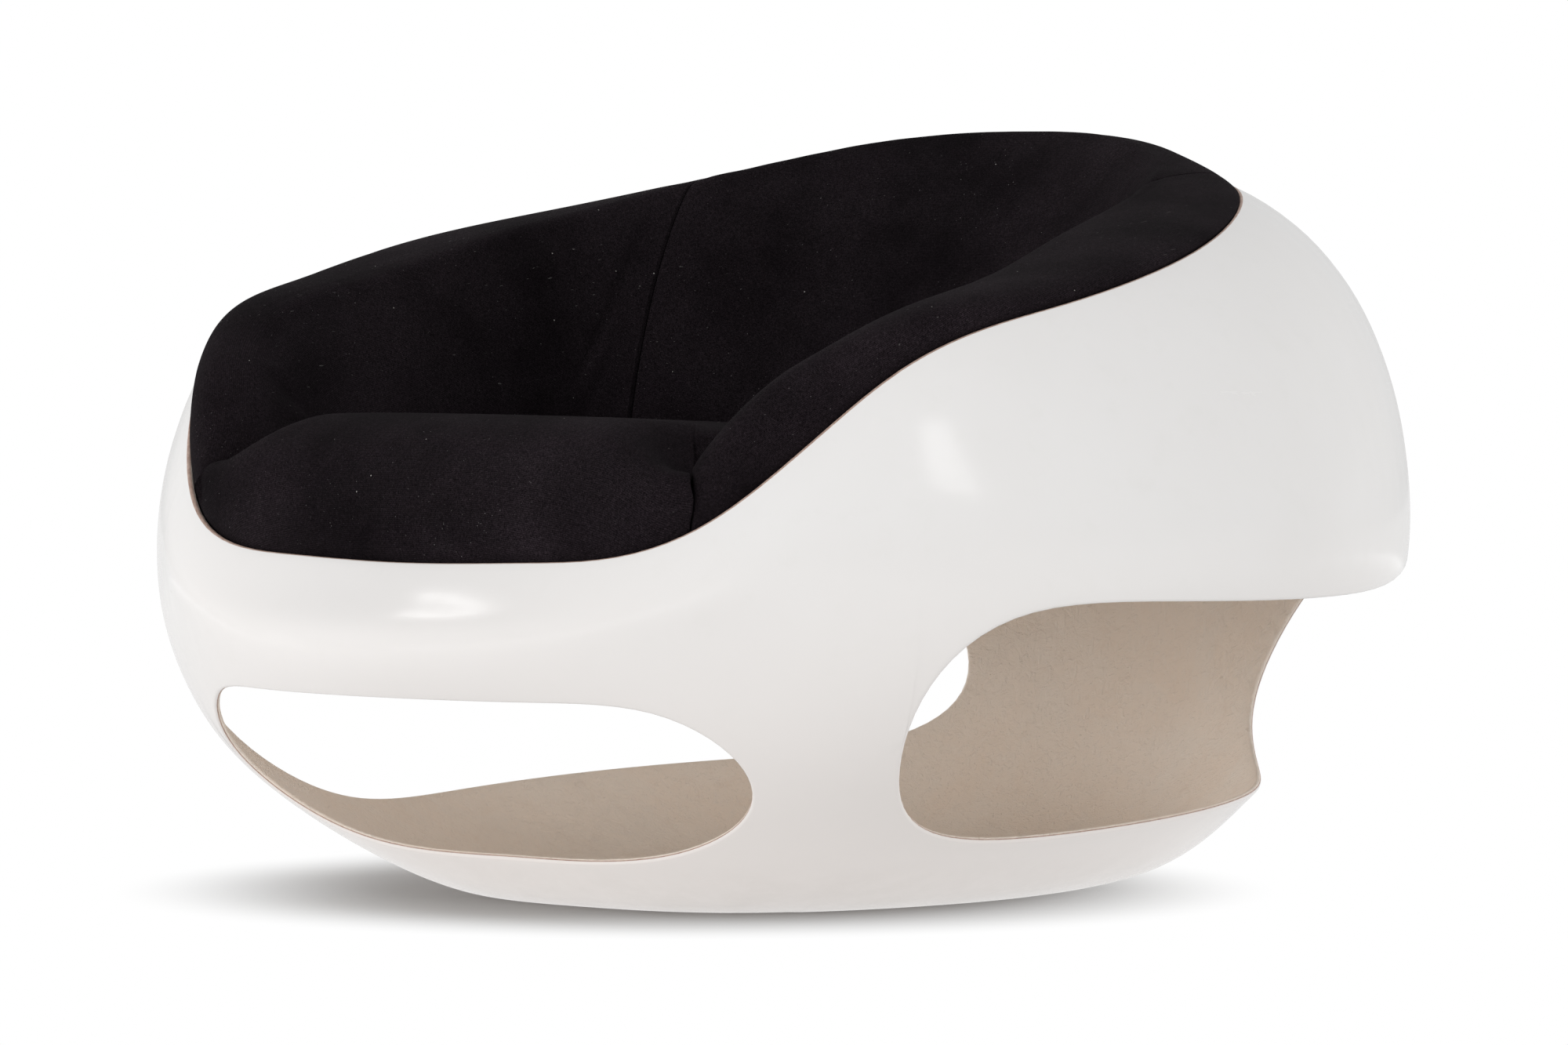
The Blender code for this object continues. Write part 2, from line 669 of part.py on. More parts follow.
def seat_section(degrees, front):
    """Section of the seat pad from the middle of its top, round the edge, to its floor."""
    foot = seat_outline(degrees) - GAP
    floor = pan_floor(degrees, foot, PAN_WALL + PAD_GAP)
    lip = lip_path(degrees)
    lip_reach, lip_height = lip[-1]
    rim_reach = around(RIM_REACH, degrees)
    crest = rim_reach - ROLL_DEPTH
    points = []
    inner = min(crest, foot - SEAT_EDGE_ROUND)
    crest_height = seat_height(place(degrees, inner, 0.0))
    for k in range(1, SEAT_RINGS + 1):
        reach = inner * k / SEAT_RINGS
        height = seat_height(place(degrees, reach, 0.0)) + SEAT_CROWN * (1 - (k / SEAT_RINGS) ** 2)
        points.append((reach, height))
    pan = pan_face(degrees)[::-1]
    if front:
        nose = rim_reach + ROLL_OVERHANG
        nose_height = lip_height + 0.026
        for k in range(1, ROLL_ROWS + 1):
            turn = math.pi / 2 * k / ROLL_ROWS
            reach = inner + (nose - inner) * math.sin(turn) ** 0.95
            share = math.cos(turn) ** 0.85 if k < ROLL_ROWS else 0.0
            fall = crest_height - nose_height - corner_dip(place(degrees, reach, 0.0))
            points.append((reach, nose_height + fall * share))
        points.append((blend(nose, lip_reach, 0.3), lip_height + 0.010))
        points += lip[::-1] + pan
    else:
        edge = seat_height(place(degrees, foot, 0.0))
        count = ROLL_ROWS + 1 + len(lip) + len(pan)
        for k in range(1, 4):
            turn = math.pi / 2 * k / 3
            height = edge - SEAT_EDGE_DROP * (1 - math.cos(turn))
            points.append((blend(inner, foot, math.sin(turn)), height))
        wall_top = edge - SEAT_EDGE_DROP
        for k in range(1, count - 2):
            points.append((foot, blend(wall_top, floor, k / (count - 3))))
    return points


def tuck_roll(section):
    """Draw the end of the front roll in beside its seam, only above the shell's lip."""
    first = SEAT_RINGS
    last = first + ROLL_ROWS
    middle = section[first].lerp(section[last], 0.5)
    middle.z = section[last].z
    for k in range(first, last):
        section[k] = section[k] + (middle - section[k]).normalized() * SEAM_TUCK
    return section


def build_seat(material):
    """Seat pad: flat on the pan, crowned on top, rolled over the front lip."""
    body = Body()
    angles = [c[0] for c in COLUMNS]
    sections = []
    for degrees in angles:
        front = abs(degrees) <= SEAM_ANGLE + 1e-6
        here = [place(degrees, *p) for p in seat_section(degrees, front)]
        if abs(abs(degrees) - SEAM_ANGLE) < 1e-6:
            side = int(math.copysign(1, degrees))
            away = seam_planes(side)[0][1]
            end = tuck_roll([p - away * GAP / 2 for p in here])
            beyond = [place(degrees, *p) - away * GAP / 2 for p in seat_section(degrees, False)]
            pair = [end, beyond]
            sections += pair if side > 0 else pair[::-1]
        else:
            sections.append(here)
    rows = [[body.add(p) for p in section] for section in sections]
    top = body.add((0.0, 0.0, seat_height(Vector((0.0, 0.0, 0.0))) + SEAT_CROWN))
    bottom = body.add((0.0, 0.0, PAN_MIDDLE_HEIGHT + PAN_WALL + PAD_GAP))
    count = len(rows)
    for j in range(count):
        n = (j + 1) % count
        for k in range(len(rows[j]) - 1):
            body.quad(rows[n][k], rows[n][k + 1], rows[j][k + 1], rows[j][k])
        body.faces.append((top, rows[n][0], rows[j][0]))
        body.faces.append((bottom, rows[j][-1], rows[n][-1]))
    return body.make("seat_pad", material)


def between(corners, across, up):
    """Point on a four-cornered patch."""
    low = corners[0].lerp(corners[1], across)
    return low.lerp(corners[3].lerp(corners[2], across), up)


def build_block(name, angle, material):
    """Wedge in one column cell, its faces a gap away from the shell and from the pan."""
    near = [c[0] for c in COLUMNS]
    first = max(k for k in range(len(near)) if near[k] <= angle)
    here = near[first]
    there = near[(first + 1) % len(near)]
    shell = [shell_inner(here, BLOCK_LOW_SHARE), shell_inner(there, BLOCK_LOW_SHARE)]
    shell += [shell_inner(there, BAND_LOW_SHARE), shell_inner(here, BAND_LOW_SHARE)]
    walls = [pan_section(here), pan_section(there)]
    pan = [place(here, *walls[0][2]), place(there, *walls[1][2])]
    pan += [place(there, *walls[1][1]), place(here, *walls[0][1])]
    body = Body()
    outer = []
    inner = []
    left = BLOCK_SIDE_INSET
    right = 1 - BLOCK_SIDE_INSET
    for across, up in ((left, BLOCK_FOOT_SHARE), (right, BLOCK_FOOT_SHARE),
                       (right, BLOCK_TOP_SHARE), (left, BLOCK_TOP_SHARE)):
        face = between(shell, across, up)
        wall = between(pan, across, up)
        step = (wall - face).normalized() * BLOCK_GAP
        outer.append(body.add(face + step))
        inner.append(body.add(wall - step))
    body.quad(*outer)
    body.quad(*inner[::-1])
    for k in range(4):
        n = (k + 1) % 4
        body.quad(outer[n], outer[k], inner[k], inner[n])
    return body.make(name, material, smooth=False)


def clear_scene():
    for item in list(bpy.data.objects):
        bpy.data.objects.remove(item)


def main():
    clear_scene()
    gelcoat = make_material("white_gelcoat", (0.80, 0.79, 0.775), 0.16, coat=0.4)
    laminate = make_material("raw_laminate", (0.42, 0.35, 0.29), 0.62)
    wool = make_material("black_wool", (0.008, 0.007, 0.008), 0.92)
    timber = make_material("timber_wedge", (0.55, 0.38, 0.22), 0.70)
    build_shell(gelcoat)
    build_pan(laminate)
    build_side_pad("left_arm_pad", 1, wool)
    build_side_pad("right_arm_pad", -1, wool)
    build_back_pad(wool)
    build_seat(wool)
    for side, sign in (("left", 1), ("right", -1)):
        for place_name, angle in BLOCK_ANGLES.items():
            build_block(f"{side}_{place_name}_wedge", sign * angle, timber)


main()
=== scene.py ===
# Looks of the moulded lounge chair: a glossy white shell with raw beige laminate inside, and four
# pads in black wool. Metres, Z up, the front faces minus Y, the sitter's left is plus X.
import math

import bmesh
import bpy
import numpy as np
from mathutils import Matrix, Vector
from mathutils.kdtree import KDTree


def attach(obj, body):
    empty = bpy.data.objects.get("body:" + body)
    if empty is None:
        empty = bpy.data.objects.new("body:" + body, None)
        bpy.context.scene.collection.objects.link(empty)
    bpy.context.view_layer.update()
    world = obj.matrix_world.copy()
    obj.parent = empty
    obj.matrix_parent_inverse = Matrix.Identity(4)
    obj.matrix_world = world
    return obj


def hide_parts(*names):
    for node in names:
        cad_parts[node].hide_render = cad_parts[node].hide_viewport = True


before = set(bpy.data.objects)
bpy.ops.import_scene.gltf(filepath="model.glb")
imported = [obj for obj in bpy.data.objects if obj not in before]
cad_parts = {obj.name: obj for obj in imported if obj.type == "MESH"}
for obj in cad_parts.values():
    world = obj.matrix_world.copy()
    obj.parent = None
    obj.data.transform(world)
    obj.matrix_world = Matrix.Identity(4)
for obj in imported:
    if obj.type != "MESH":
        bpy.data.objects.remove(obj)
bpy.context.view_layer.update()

# Plan angles run from the front (0 degrees) round to the back (180), the same on both sides.
# A row of stations holds sizes at even steps between those two.

# Outer moulding, each section a smooth curve drawn by seven guide points. Section positions run
# from 0 at the base to 1 at the rim.
WALL = 0.0055
BASE_FLAT_SHARE = 0.8
FOOT_REACH = (0.196, 0.222, 0.248, 0.346, 0.462)
BILGE_REACH = (0.283, 0.369, 0.355, 0.424, 0.536)
BILGE_HEIGHT = (0.081, 0.076, 0.043)
BELT_REACH = (0.406, 0.427, 0.513, 0.557, 0.590)
BELT_HEIGHT = (0.158, 0.168, 0.178)
SHOULDER_REACH = (0.446, 0.449, 0.569, 0.597, 0.596)
SHOULDER_HEIGHT = (0.234, 0.258, 0.304, 0.326, 0.330)
LIP_FLARE = (0.030, 0.023, 0.058, 0.104, 0.108)
LIP_DROP = (0.034, 0.046, 0.059, 0.048, 0.054)
RIM_REACH = (0.374, 0.390, 0.428, 0.432, 0.432, 0.439, 0.439, 0.441, 0.443, 0.443)
RIM_HEIGHT = (0.286, 0.289, 0.320, 0.436, 0.489, 0.526, 0.563, 0.587, 0.592, 0.591)

# Openings, as points (plan angle in degrees, height) that a closed curve runs through
FRONT_OPENING = (
    (46.0, 0.1025), (34.4, 0.1766), (20.7, 0.1835), (0.0, 0.1835), (-20.7, 0.1835), (-34.4, 0.1766),
    (-46.0, 0.1025), (-33.9, 0.0515), (0.0, 0.0425), (33.9, 0.0515),
)
SIDE_OPENING = (
    (62.1, 0.1104), (70.2, 0.2548), (86.2, 0.2626), (114.0, 0.264), (133.0, 0.288), (147.0, 0.292),
    (163.6, 0.157), (154.7, 0.088), (136.2, 0.0744), (101.0, 0.0626), (75.5, 0.0647),
)
OPENING_ANGLE_SCALE = 30.0
OPENING_HEIGHT_SCALE = 0.06
OPENING_CURVE_POINTS = 1440

# Seat pan, bonded under the lip
GAP = 0.0003
PAD_GAP = 0.0004
PAN_WALL = 0.004
PAN_MIDDLE_HEIGHT = 0.262
PAN_EDGE_HEIGHT = (0.236, 0.242, 0.258, 0.262, 0.262, 0.262, 0.262)
PAN_FLOOR_MARGIN = 0.050
PAN_FLOOR_BLEND = 0.030
PAN_WALL_PULL = 0.35
PAN_TOP_PULL = 0.05
PAN_CORNER_LIFT = 0.7
BAND_TOP_SHARE = 0.985
BAND_LOW_SHARE = 0.955

# Pads round the back and the sides
SEAT_OUTLINE_HALF_WIDTH = 0.272
SEAT_OUTLINE_FRONT_Y = -0.350
SEAT_OUTLINE_BACK_Y = 0.230
SEAT_OUTLINE_POWER = 3.0
CREST_INSET = (0.020, 0.028, 0.034, 0.042, 0.083, 0.107, 0.094, 0.053, 0.027, 0.023)
CREST_RISE = (0.083, 0.076, 0.086, 0.044, 0.024, 0.018, 0.006, 0.011, 0.034, 0.044)
CREST_HALF_WIDTH = 0.020
CREST_INNER_DROP = 0.006
PAD_OVERHANG = -0.0025
PAD_FULLNESS = 0.75
PAD_BELLY = 0.006
PAD_FACE_SHARES = ((0.30, 0.26), (0.66, 0.63))
PAD_FOOT_OUT = 0.001
PAD_FOOT_RISE = 0.012
SEAM_ANGLE = 38.5
BACK_SEAM_X = 0.240
BACK_SEAM_Y = 0.200
BACK_SEAM_SLANT = 0.20
FRONT_SEAM_RANGE = (SEAM_ANGLE - 4.0, SEAM_ANGLE + 4.0)
REAR_SEAM_RANGE = (80.0, 179.0)

# Way of the cloth past the shell's lip, as shares of the wall, and the section position below it
LIP_SIDE_RISE = 0.6
LIP_TOP_DEPTH = 0.62
LIP_TOP_RISE = 0.8
LIP_BELOW = 0.99

# Seat pad with its front roll
SEAT_HEIGHT_FRONT = 0.404
SEAT_FRONT_Y = -0.300
SEAT_FALL = 0.075
SEAT_SIDE_DROP = 0.010
SEAT_HALF_WIDTH = 0.250
SEAT_CROWN = 0.006
ROLL_DEPTH = 0.088
ROLL_OUT_BEND = 0.95
ROLL_TOP_BEND = 0.85
NOSE_RISE = 0.026
NOSE_UNDER_RISE = 0.010
NOSE_UNDER_PULL = 0.3
SEAT_EDGE_DROP = 0.014
SEAT_EDGE_ROUND = 0.030

# Rounded front corners, where the seat, the roll and the side pad meet
CORNER_REACH = 0.368
CORNER_RADIUS = 0.070
CORNER_DIP = 0.045
CORNER_TIP_ROUND = 0.006
CORNER_SMOOTHING = 14
CORNER_SMOOTH_SHARE = 0.25
PAD_CORNER_DIP = 0.035
PAD_CORNER_SPAN = 12.0

# Fineness of the shell's mesh
SHELL_FRONT_STEPS = 26
SHELL_LEG_STEPS = 8
SHELL_SIDE_STEPS = 54
SHELL_REAR_STEPS = 8
SHELL_LOWER_ROWS = 18
SHELL_UPPER_ROWS = 30
SLOPE_STEP = 0.004
SLOPE_TURN = 0.4
HEIGHT_TABLE_STEPS = 801
BASE_RINGS = (0.8, 0.55, 0.3, 0.1)

# Half-round edges: turns round the wall in degrees, and the material of each strip between them,
# which is 0 for gelcoat, 1 for laminate and 2 for the raw line
EDGE_TURNS = (0, 18, 36, 52, 72, 92, 115, 145, 180)
EDGE_SLOTS = (0, 0, 0, 0, 2, 1, 1, 1)
RIM_SLOTS = (0, 2, 2, 2, 2, 1, 1, 1)

# Fineness of the pan and the pads
PAN_COLUMNS = 144
PAN_ROWS = 18
PAN_FLOOR_RINGS = (0.75, 0.5, 0.25)
PAD_STEP = 0.007
SEAM_STEP = 0.0012
SEAM_STEP_GROWTH = 1.35
SECTION_TABLE_STEP = 0.25
SECTION_TABLE_MARGIN = 5.0
OUTLINE_HALVINGS = 30
PAD_OUTER_ROWS = 14
PAD_INNER_ROWS = 36
SEAT_RINGS = 30
ROLL_ROWS = 22
NOSE_ROWS = 8
SEAT_EDGE_ROWS = 8
SEAT_CALM_RADIUS = 0.05
SEAT_ARC_STRETCH = 1.6
SEAT_STILL_RINGS = 4

# Upholstery swelling, by a cloth simulation
CLOTH_FRAMES = 20
CLOTH_PRESSURE = 4.0
CLOTH_LIMIT = 0.004
CLOTH_SHRINK = 0.2
BAND_CALM = 0.25
SEAM_TUCK = 0.0035
SEAM_REACH = 0.006
SEAM_FREE = 0.030
SEAM_FADE = 0.020
BAND_SEAM_SHARE = 0.06
SEAM_PINNED = 6
SEAT_MIDDLE_HEIGHT = 0.32

# Cloth pattern and colours
RIB_PITCH = 0.0016
RIB_WANDER = 0.0011
THREAD_PITCH = 0.0011
WOOL_DARK = (0.0016, 0.0011, 0.0014)
WOOL_LIGHT = (0.062, 0.047, 0.056)

# Lamps: name, compass angle, distance in plan, height, width and height of the panel, power,
# and whether it shows as a reflection in the gloss
LAMPS = (
    ("strip", -62.7, 2.24, 3.32, 1.3, 0.06, 1.3, True),
    ("high_front", -15.0, 3.0, 2.3, 2.4, 1.6, 5.0, False),
    ("window", 63.0, 3.1, 2.0, 0.38, 1.0, 2.2, True),
    ("low_front", 0.0, 3.5, 0.45, 4.0, 0.8, 40.0, False),
    ("low_side", 95.0, 3.5, 0.45, 4.0, 0.8, 23.0, False),
    ("low_left", -80.0, 3.5, 0.45, 3.0, 0.8, 36.0, False),
    ("low_back", 170.0, 3.5, 0.45, 3.0, 0.8, 32.0, False),
    ("top", 150.0, 0.8, 3.2, 3.0, 3.0, 4.0, False),
)
STRIP_TILT = 18.0
LAMP_AIM_HIGH = 0.35
LAMP_AIM_LOW = 0.15
LOW_LAMP_LIMIT = 1.0

# White studio: the world's level, and the floor as the camera sees it (shade up to the first
# distance from its middle, white from the second) and as it lights the chair (two distances and
# the levels there). Both are dimmer in the gloss.
WHITE = (1.0, 1.0, 1.0)
WORLD_LEVEL = 0.62
FLOOR_HALF_SIZE = 14.0
FLOOR_GREYS = ((0.42, 0.42, 0.42), (0.43, 0.43, 0.428))
FLOOR_SHADE_MIDDLE = (-0.05, 0.036, 0.0)
FLOOR_FADE = (0.23, 0.49)
FLOOR_BOUNCE = (0.45, 0.60, 0.40, 0.27)
FLOOR_IN_GLOSS = 0.5
SKY_IN_GLOSS = 0.12

# Camera as in the photograph
CAMERA_TURN = 40.23
CAMERA_RISE = 2.112
CAMERA_DISTANCE = 6.4667
CAMERA_AIM_ACROSS = 0.0602
CAMERA_AIM_HEIGHT = 0.3081
CAMERA_LENS = 179.52


def around(stations, degrees):
    """Smooth values at plan angles through evenly spaced stations, mirror symmetric."""
    stations = np.array(stations, float)
    count = len(stations)
    system = 4 * np.eye(count) + np.eye(count, k=1) + np.eye(count, k=-1)
    system[0, 0] = 2
    system[-1, -1] = 2
    bends = np.linalg.solve(system, 6 * np.diff(np.diff(stations), prepend=0.0, append=0.0))
    where = np.abs((np.asarray(degrees, float) + 180) % 360 - 180) / 180 * (count - 1)
    i = np.minimum(where.astype(int), count - 2)
    b = where - i
    a = 1 - b
    value = a * stations[i] + b * stations[i + 1]
    return value + ((a ** 3 - a) * bends[i] + (b ** 3 - b) * bends[i + 1]) / 6


def unit(vectors):
    return vectors / np.linalg.norm(vectors, axis=-1, keepdims=True)


def pair(reach, height):
    return np.stack(np.broadcast_arrays(reach, height), axis=-1)


def section_weights(u):
    """Weights of the seven guide points at section positions from 0 (base) to 1 (rim)."""
    knots = np.array((0, 0, 0, 0, 0.25, 0.5, 0.75, 1, 1, 1, 1))
    u = np.clip(np.asarray(u, float), 0.0, 1.0 - 1e-12)
    weights = [np.where((knots[i] <= u) & (u < knots[i + 1]), 1.0, 0.0) for i in range(10)]
    for degree in (1, 2, 3):
        for i in range(10 - degree):
            rise = knots[i + degree] - knots[i]
            fall = knots[i + degree + 1] - knots[i + 1]
            left = (u - knots[i]) / rise * weights[i] if rise else 0.0
            right = (knots[i + degree + 1] - u) / fall * weights[i + 1] if fall else 0.0
            weights[i] = left + right
    return np.stack(weights[:7], axis=-1)


def guide_points(degrees):
    """Reach and height of the guide points at plan angles, seven for each angle."""
    foot, bilge, belt, shoulder, flare, rim = (around(row, degrees) for row in (
        FOOT_REACH, BILGE_REACH, BELT_REACH, SHOULDER_REACH, LIP_FLARE, RIM_REACH))
    reach = (foot * BASE_FLAT_SHARE, foot, bilge, belt, shoulder, rim + flare, rim)
    bilge, belt, shoulder, drop, rim = (around(row, degrees) for row in (
        BILGE_HEIGHT, BELT_HEIGHT, SHOULDER_HEIGHT, LIP_DROP, RIM_HEIGHT))
    height = (foot * 0, foot * 0, bilge, belt, shoulder, rim - drop, rim)
    return pair(np.stack(reach, axis=-1), np.stack(height, axis=-1))


def place(degrees, reach, height):
    """Points at plan angles, reaches from the axis and heights."""
    turn = np.radians(degrees)
    reach, height, turn = np.broadcast_arrays(reach, height, turn)
    return np.stack((reach * np.sin(turn), -reach * np.cos(turn), height), axis=-1)


def shell_outline(degrees, u):
    """Reach and height on the outer face; u has one row of values for each plan angle."""
    value = np.einsum("nmk,nkc->nmc", section_weights(u), guide_points(degrees))
    return value[..., 0], value[..., 1]


def face_points(degrees, u):
    return place(degrees[:, None], *shell_outline(degrees, u))


def shell_points(degrees, u, depth=0.0):
    """Points under the outer face by a depth, kept in their upright plan plane."""
    above = face_points(degrees, np.clip(u + SLOPE_STEP, 0, 1))
    below = face_points(degrees, np.clip(u - SLOPE_STEP, 0, 1))
    along = face_points(degrees + SLOPE_TURN, u) - face_points(degrees - SLOPE_TURN, u)
    normal = unit(np.cross(along, above - below))
    side = place(degrees[:, None] + 90, 1.0, 0.0)
    flat = unit(normal - side * (normal * side).sum(axis=-1, keepdims=True))
    step = depth / (normal * flat).sum(axis=-1, keepdims=True)
    return face_points(degrees, u) - flat * step


def closed_curve(points, count):
    """Closed cubic through points, spaced by the root of their distances."""
    scale = np.array((1 / OPENING_ANGLE_SCALE, 1 / OPENING_HEIGHT_SCALE))
    ring = np.array(points) * scale
    size = len(ring)
    ahead = np.roll(ring, -1, axis=0) - ring
    gaps = np.sqrt(np.sqrt((ahead ** 2).sum(axis=1)))
    before = np.roll(gaps, 1)
    each = np.arange(size)
    system = np.diag(2 * (before + gaps))
    system[each, each - 1] = before
    system[each, (each + 1) % size] = gaps
    slope = ahead / gaps[:, None]
    bend = np.linalg.solve(system, 6 * (slope - np.roll(slope, 1, axis=0)))
    starts = np.append(0.0, np.cumsum(gaps))
    t = starts[-1] * np.arange(count) / count
    i = np.minimum(np.searchsorted(starts, t, side="right") - 1, size - 1)
    j = (i + 1) % size
    h = gaps[i][:, None]
    a = (starts[i + 1] - t)[:, None] / h
    b = 1 - a
    value = a * ring[i] + b * ring[j] + ((a ** 3 - a) * bend[i] + (b ** 3 - b) * bend[j]) * h * h / 6
    return value / scale


def opening_edges(points):
    """Lower and upper edge of an opening, each as rising plan angles with their heights."""
    curve = closed_curve(points, OPENING_CURVE_POINTS)
    curve = np.roll(curve, -int(curve[:, 0].argmin()), axis=0)
    last = int(curve[:, 0].argmax())
    one = curve[:last + 1]
    two = np.vstack((curve[last:], curve[:1]))[::-1]
    return (one, two) if one[:, 1].mean() < two[:, 1].mean() else (two, one)


def heights_to_u(degrees, heights):
    """Section positions of heights on the outer face."""
    steps = np.linspace(0.0, 1.0, HEIGHT_TABLE_STEPS)
    rows = shell_outline(degrees, np.tile(steps, (len(degrees), 1)))[1]
    rows = np.maximum.accumulate(rows + steps * 1e-9, axis=1)
    return np.array([np.interp(h, row, steps) for h, row in zip(heights, rows)])


def shell_columns():
    """Plan angles of all columns, section positions of the band edges, and which are cut open."""
    front_low, front_high = opening_edges(FRONT_OPENING)
    side_low, side_high = opening_edges(SIDE_OPENING)
    front_end = front_low[-1, 0]
    side_start, side_end = side_low[[0, -1], 0]
    front = front_end * np.sin(np.pi / 2 * np.arange(SHELL_FRONT_STEPS + 1) / SHELL_FRONT_STEPS)
    leg = np.linspace(front_end, side_start, SHELL_LEG_STEPS + 1)[1:-1]
    share = (1 - np.cos(np.pi * np.arange(SHELL_SIDE_STEPS + 1) / SHELL_SIDE_STEPS)) / 2
    side = side_start + (side_end - side_start) * share
    rear = np.linspace(side_end, 180.0, SHELL_REAR_STEPS + 1)[1:]
    angles = np.concatenate((front, leg, side, rear))
    cut = (angles < front[-1]) | ((angles > side[0]) & (angles < side[-1]))
    late = angles >= side_start
    low, high = (heights_to_u(angles, np.where(late, np.interp(angles, *far.T), np.interp(angles, *near.T)))
                 for near, far in ((front_low, side_low), (front_high, side_high)))
    on_leg = (angles > front_end) & (angles < side_start)
    low[on_leg] = np.interp(angles[on_leg], angles[~on_leg], low[~on_leg])
    high[~cut] = low[~cut]
    whole = [np.append(half[-2:0:-1], half) for half in (angles, low, high, cut)]
    whole[0][:len(angles) - 2] *= -1
    return whole


class Mesh:
    """Points, faces, their materials and their cloth coordinates while a mesh is put together."""

    def __init__(self):
        self.points = []
        self.faces = []
        self.slots = []
        self.cloth = []
        self.count = 0

    def add(self, points, cloth=None):
        """Adds an array of points and gives their numbers in the same layout."""
        points = np.asarray(points, float)
        numbers = self.count + np.arange(points[..., 0].size).reshape(points.shape[:-1])
        self.points.append(points.reshape(-1, 3))
        if cloth is not None:
            self.cloth.append(np.asarray(cloth, float).reshape(-1, 2))
        self.count += numbers.size
        return numbers

    def grid(self, numbers, slot=0, wrap=False, flip=False):
        """Quads between neighbouring rows and columns of point numbers."""
        here = numbers if wrap else numbers[:-1]
        there = np.roll(numbers, -1, axis=0) if wrap else numbers[1:]
        quads = np.stack((here[:, :-1], there[:, :-1], there[:, 1:], here[:, 1:]), axis=-1)
        quads = quads.reshape(-1, 4)
        if flip:
            quads = quads[:, ::-1]
        self.faces += quads.tolist()
        self.slots += [slot] * len(quads)

    def face(self, numbers, slot=0):
        self.faces.append([int(n) for n in numbers])
        self.slots.append(slot)

    def fan(self, ring, point, slot=0, flip=False):
        """Triangles from a closed ring of point numbers to one point."""
        for one, two in zip(ring, np.roll(ring, -1)):
            self.face((two, one, point) if flip else (one, two, point), slot)

    def make(self, name, materials, merge=1e-5):
        data = bpy.data.meshes.new(name)
        data.from_pydata(np.vstack(self.points).tolist(), [], self.faces)
        for material in materials:
            data.materials.append(material)
        data.polygons.foreach_set("material_index", self.slots)
        if self.cloth:
            corners = np.empty(len(data.loops), int)
            data.loops.foreach_get("vertex_index", corners)
            layer = data.uv_layers.new(name="Weave")
            layer.data.foreach_set("uv", np.vstack(self.cloth)[corners].ravel())
        work = bmesh.new()
        work.from_mesh(data)
        if merge:
            bmesh.ops.remove_doubles(work, verts=work.verts, dist=merge)
        bmesh.ops.recalc_face_normals(work, faces=work.faces)
        work.to_mesh(data)
        work.free()
        data.shade_smooth()
        item = bpy.data.objects.new(name, data)
        bpy.context.scene.collection.objects.link(item)
        return item


def edge_band(mesh, outer, inner, degrees, u, slots):
    """Half-round edge between two loops of point numbers, at angles and section positions."""
    start, end = (np.vstack(mesh.points)[loop] for loop in (outer, inner))
    through = shell_points(degrees, u[:, None]) - shell_points(degrees, u[:, None], WALL)
    normals = unit(through[:, 0])
    ahead = np.roll(start, -1, axis=0) - np.roll(start, 1, axis=0)
    away = unit(np.cross(normals, ahead))
    centre = (start + end) / 2
    half = (start - end) / 2
    size = np.linalg.norm(half, axis=1, keepdims=True)
    rows = [outer]
    for turn in np.radians(EDGE_TURNS[1:-1]):
        rows.append(mesh.add(centre + half * math.cos(turn) + away * size * math.sin(turn)))
    rows.append(inner)
    for k, slot in enumerate(slots):
        mesh.grid(np.stack((rows[k], rows[k + 1]), axis=1), slot, wrap=True)


def build_shell(materials):
    """Outer moulding: white gelcoat outside, beige laminate inside, trimmed edges between."""
    mesh = Mesh()
    angles, low, high, cut = shell_columns()
    lower = low[:, None] * np.linspace(0, 1, SHELL_LOWER_ROWS + 1)
    upper = high[:, None] + (1 - high)[:, None] * np.linspace(0, 1, SHELL_UPPER_ROWS + 1)
    faces = []
    for slot, depth in enumerate((0.0, WALL)):
        parts = [mesh.add(shell_points(angles, u, depth)) for u in (lower, upper)]
        for part in parts:
            mesh.grid(part, slot, wrap=True, flip=slot == 1)
        faces.append(parts)
    for slot, parts in enumerate(faces):
        add_base(mesh, parts[0][:, 0], slot, WALL * slot)
    for first, last in openings_of(cut):
        columns = np.arange(first, last + 1) % len(angles)
        back = columns[-2:0:-1]
        outer, inner = (np.append(bottom[columns, -1], top[back, 0]) for bottom, top in faces)
        edge_band(mesh, outer, inner, angles[np.append(columns, back)],
                  np.append(low[columns], high[back]), EDGE_SLOTS)
    edge_band(mesh, faces[0][1][:, -1], faces[1][1][:, -1], angles, np.ones(len(angles)), RIM_SLOTS)
    return mesh.make("shell", materials)


def openings_of(cut):
    """First and last column of each run of cut columns, with the whole column on either side."""
    starts = np.where(cut & ~np.roll(cut, 1))[0]
    return [(start - 1, start + int(np.argmin(np.roll(cut, -start)))) for start in starts]


def add_base(mesh, rim, slot, height):
    """Flat underside or the floor of the bowl, as rings closing on one point."""
    centre = np.array((0.0, (FOOT_REACH[-1] - FOOT_REACH[0]) * BASE_FLAT_SHARE / 2, height))
    first = np.vstack(mesh.points)[rim]
    rings = [rim] + [mesh.add(centre + (first - centre) * share) for share in BASE_RINGS]
    mesh.grid(np.stack(rings, axis=1), slot, wrap=True, flip=slot == 0)
    mesh.fan(rings[-1], mesh.add(centre[None])[0], slot)


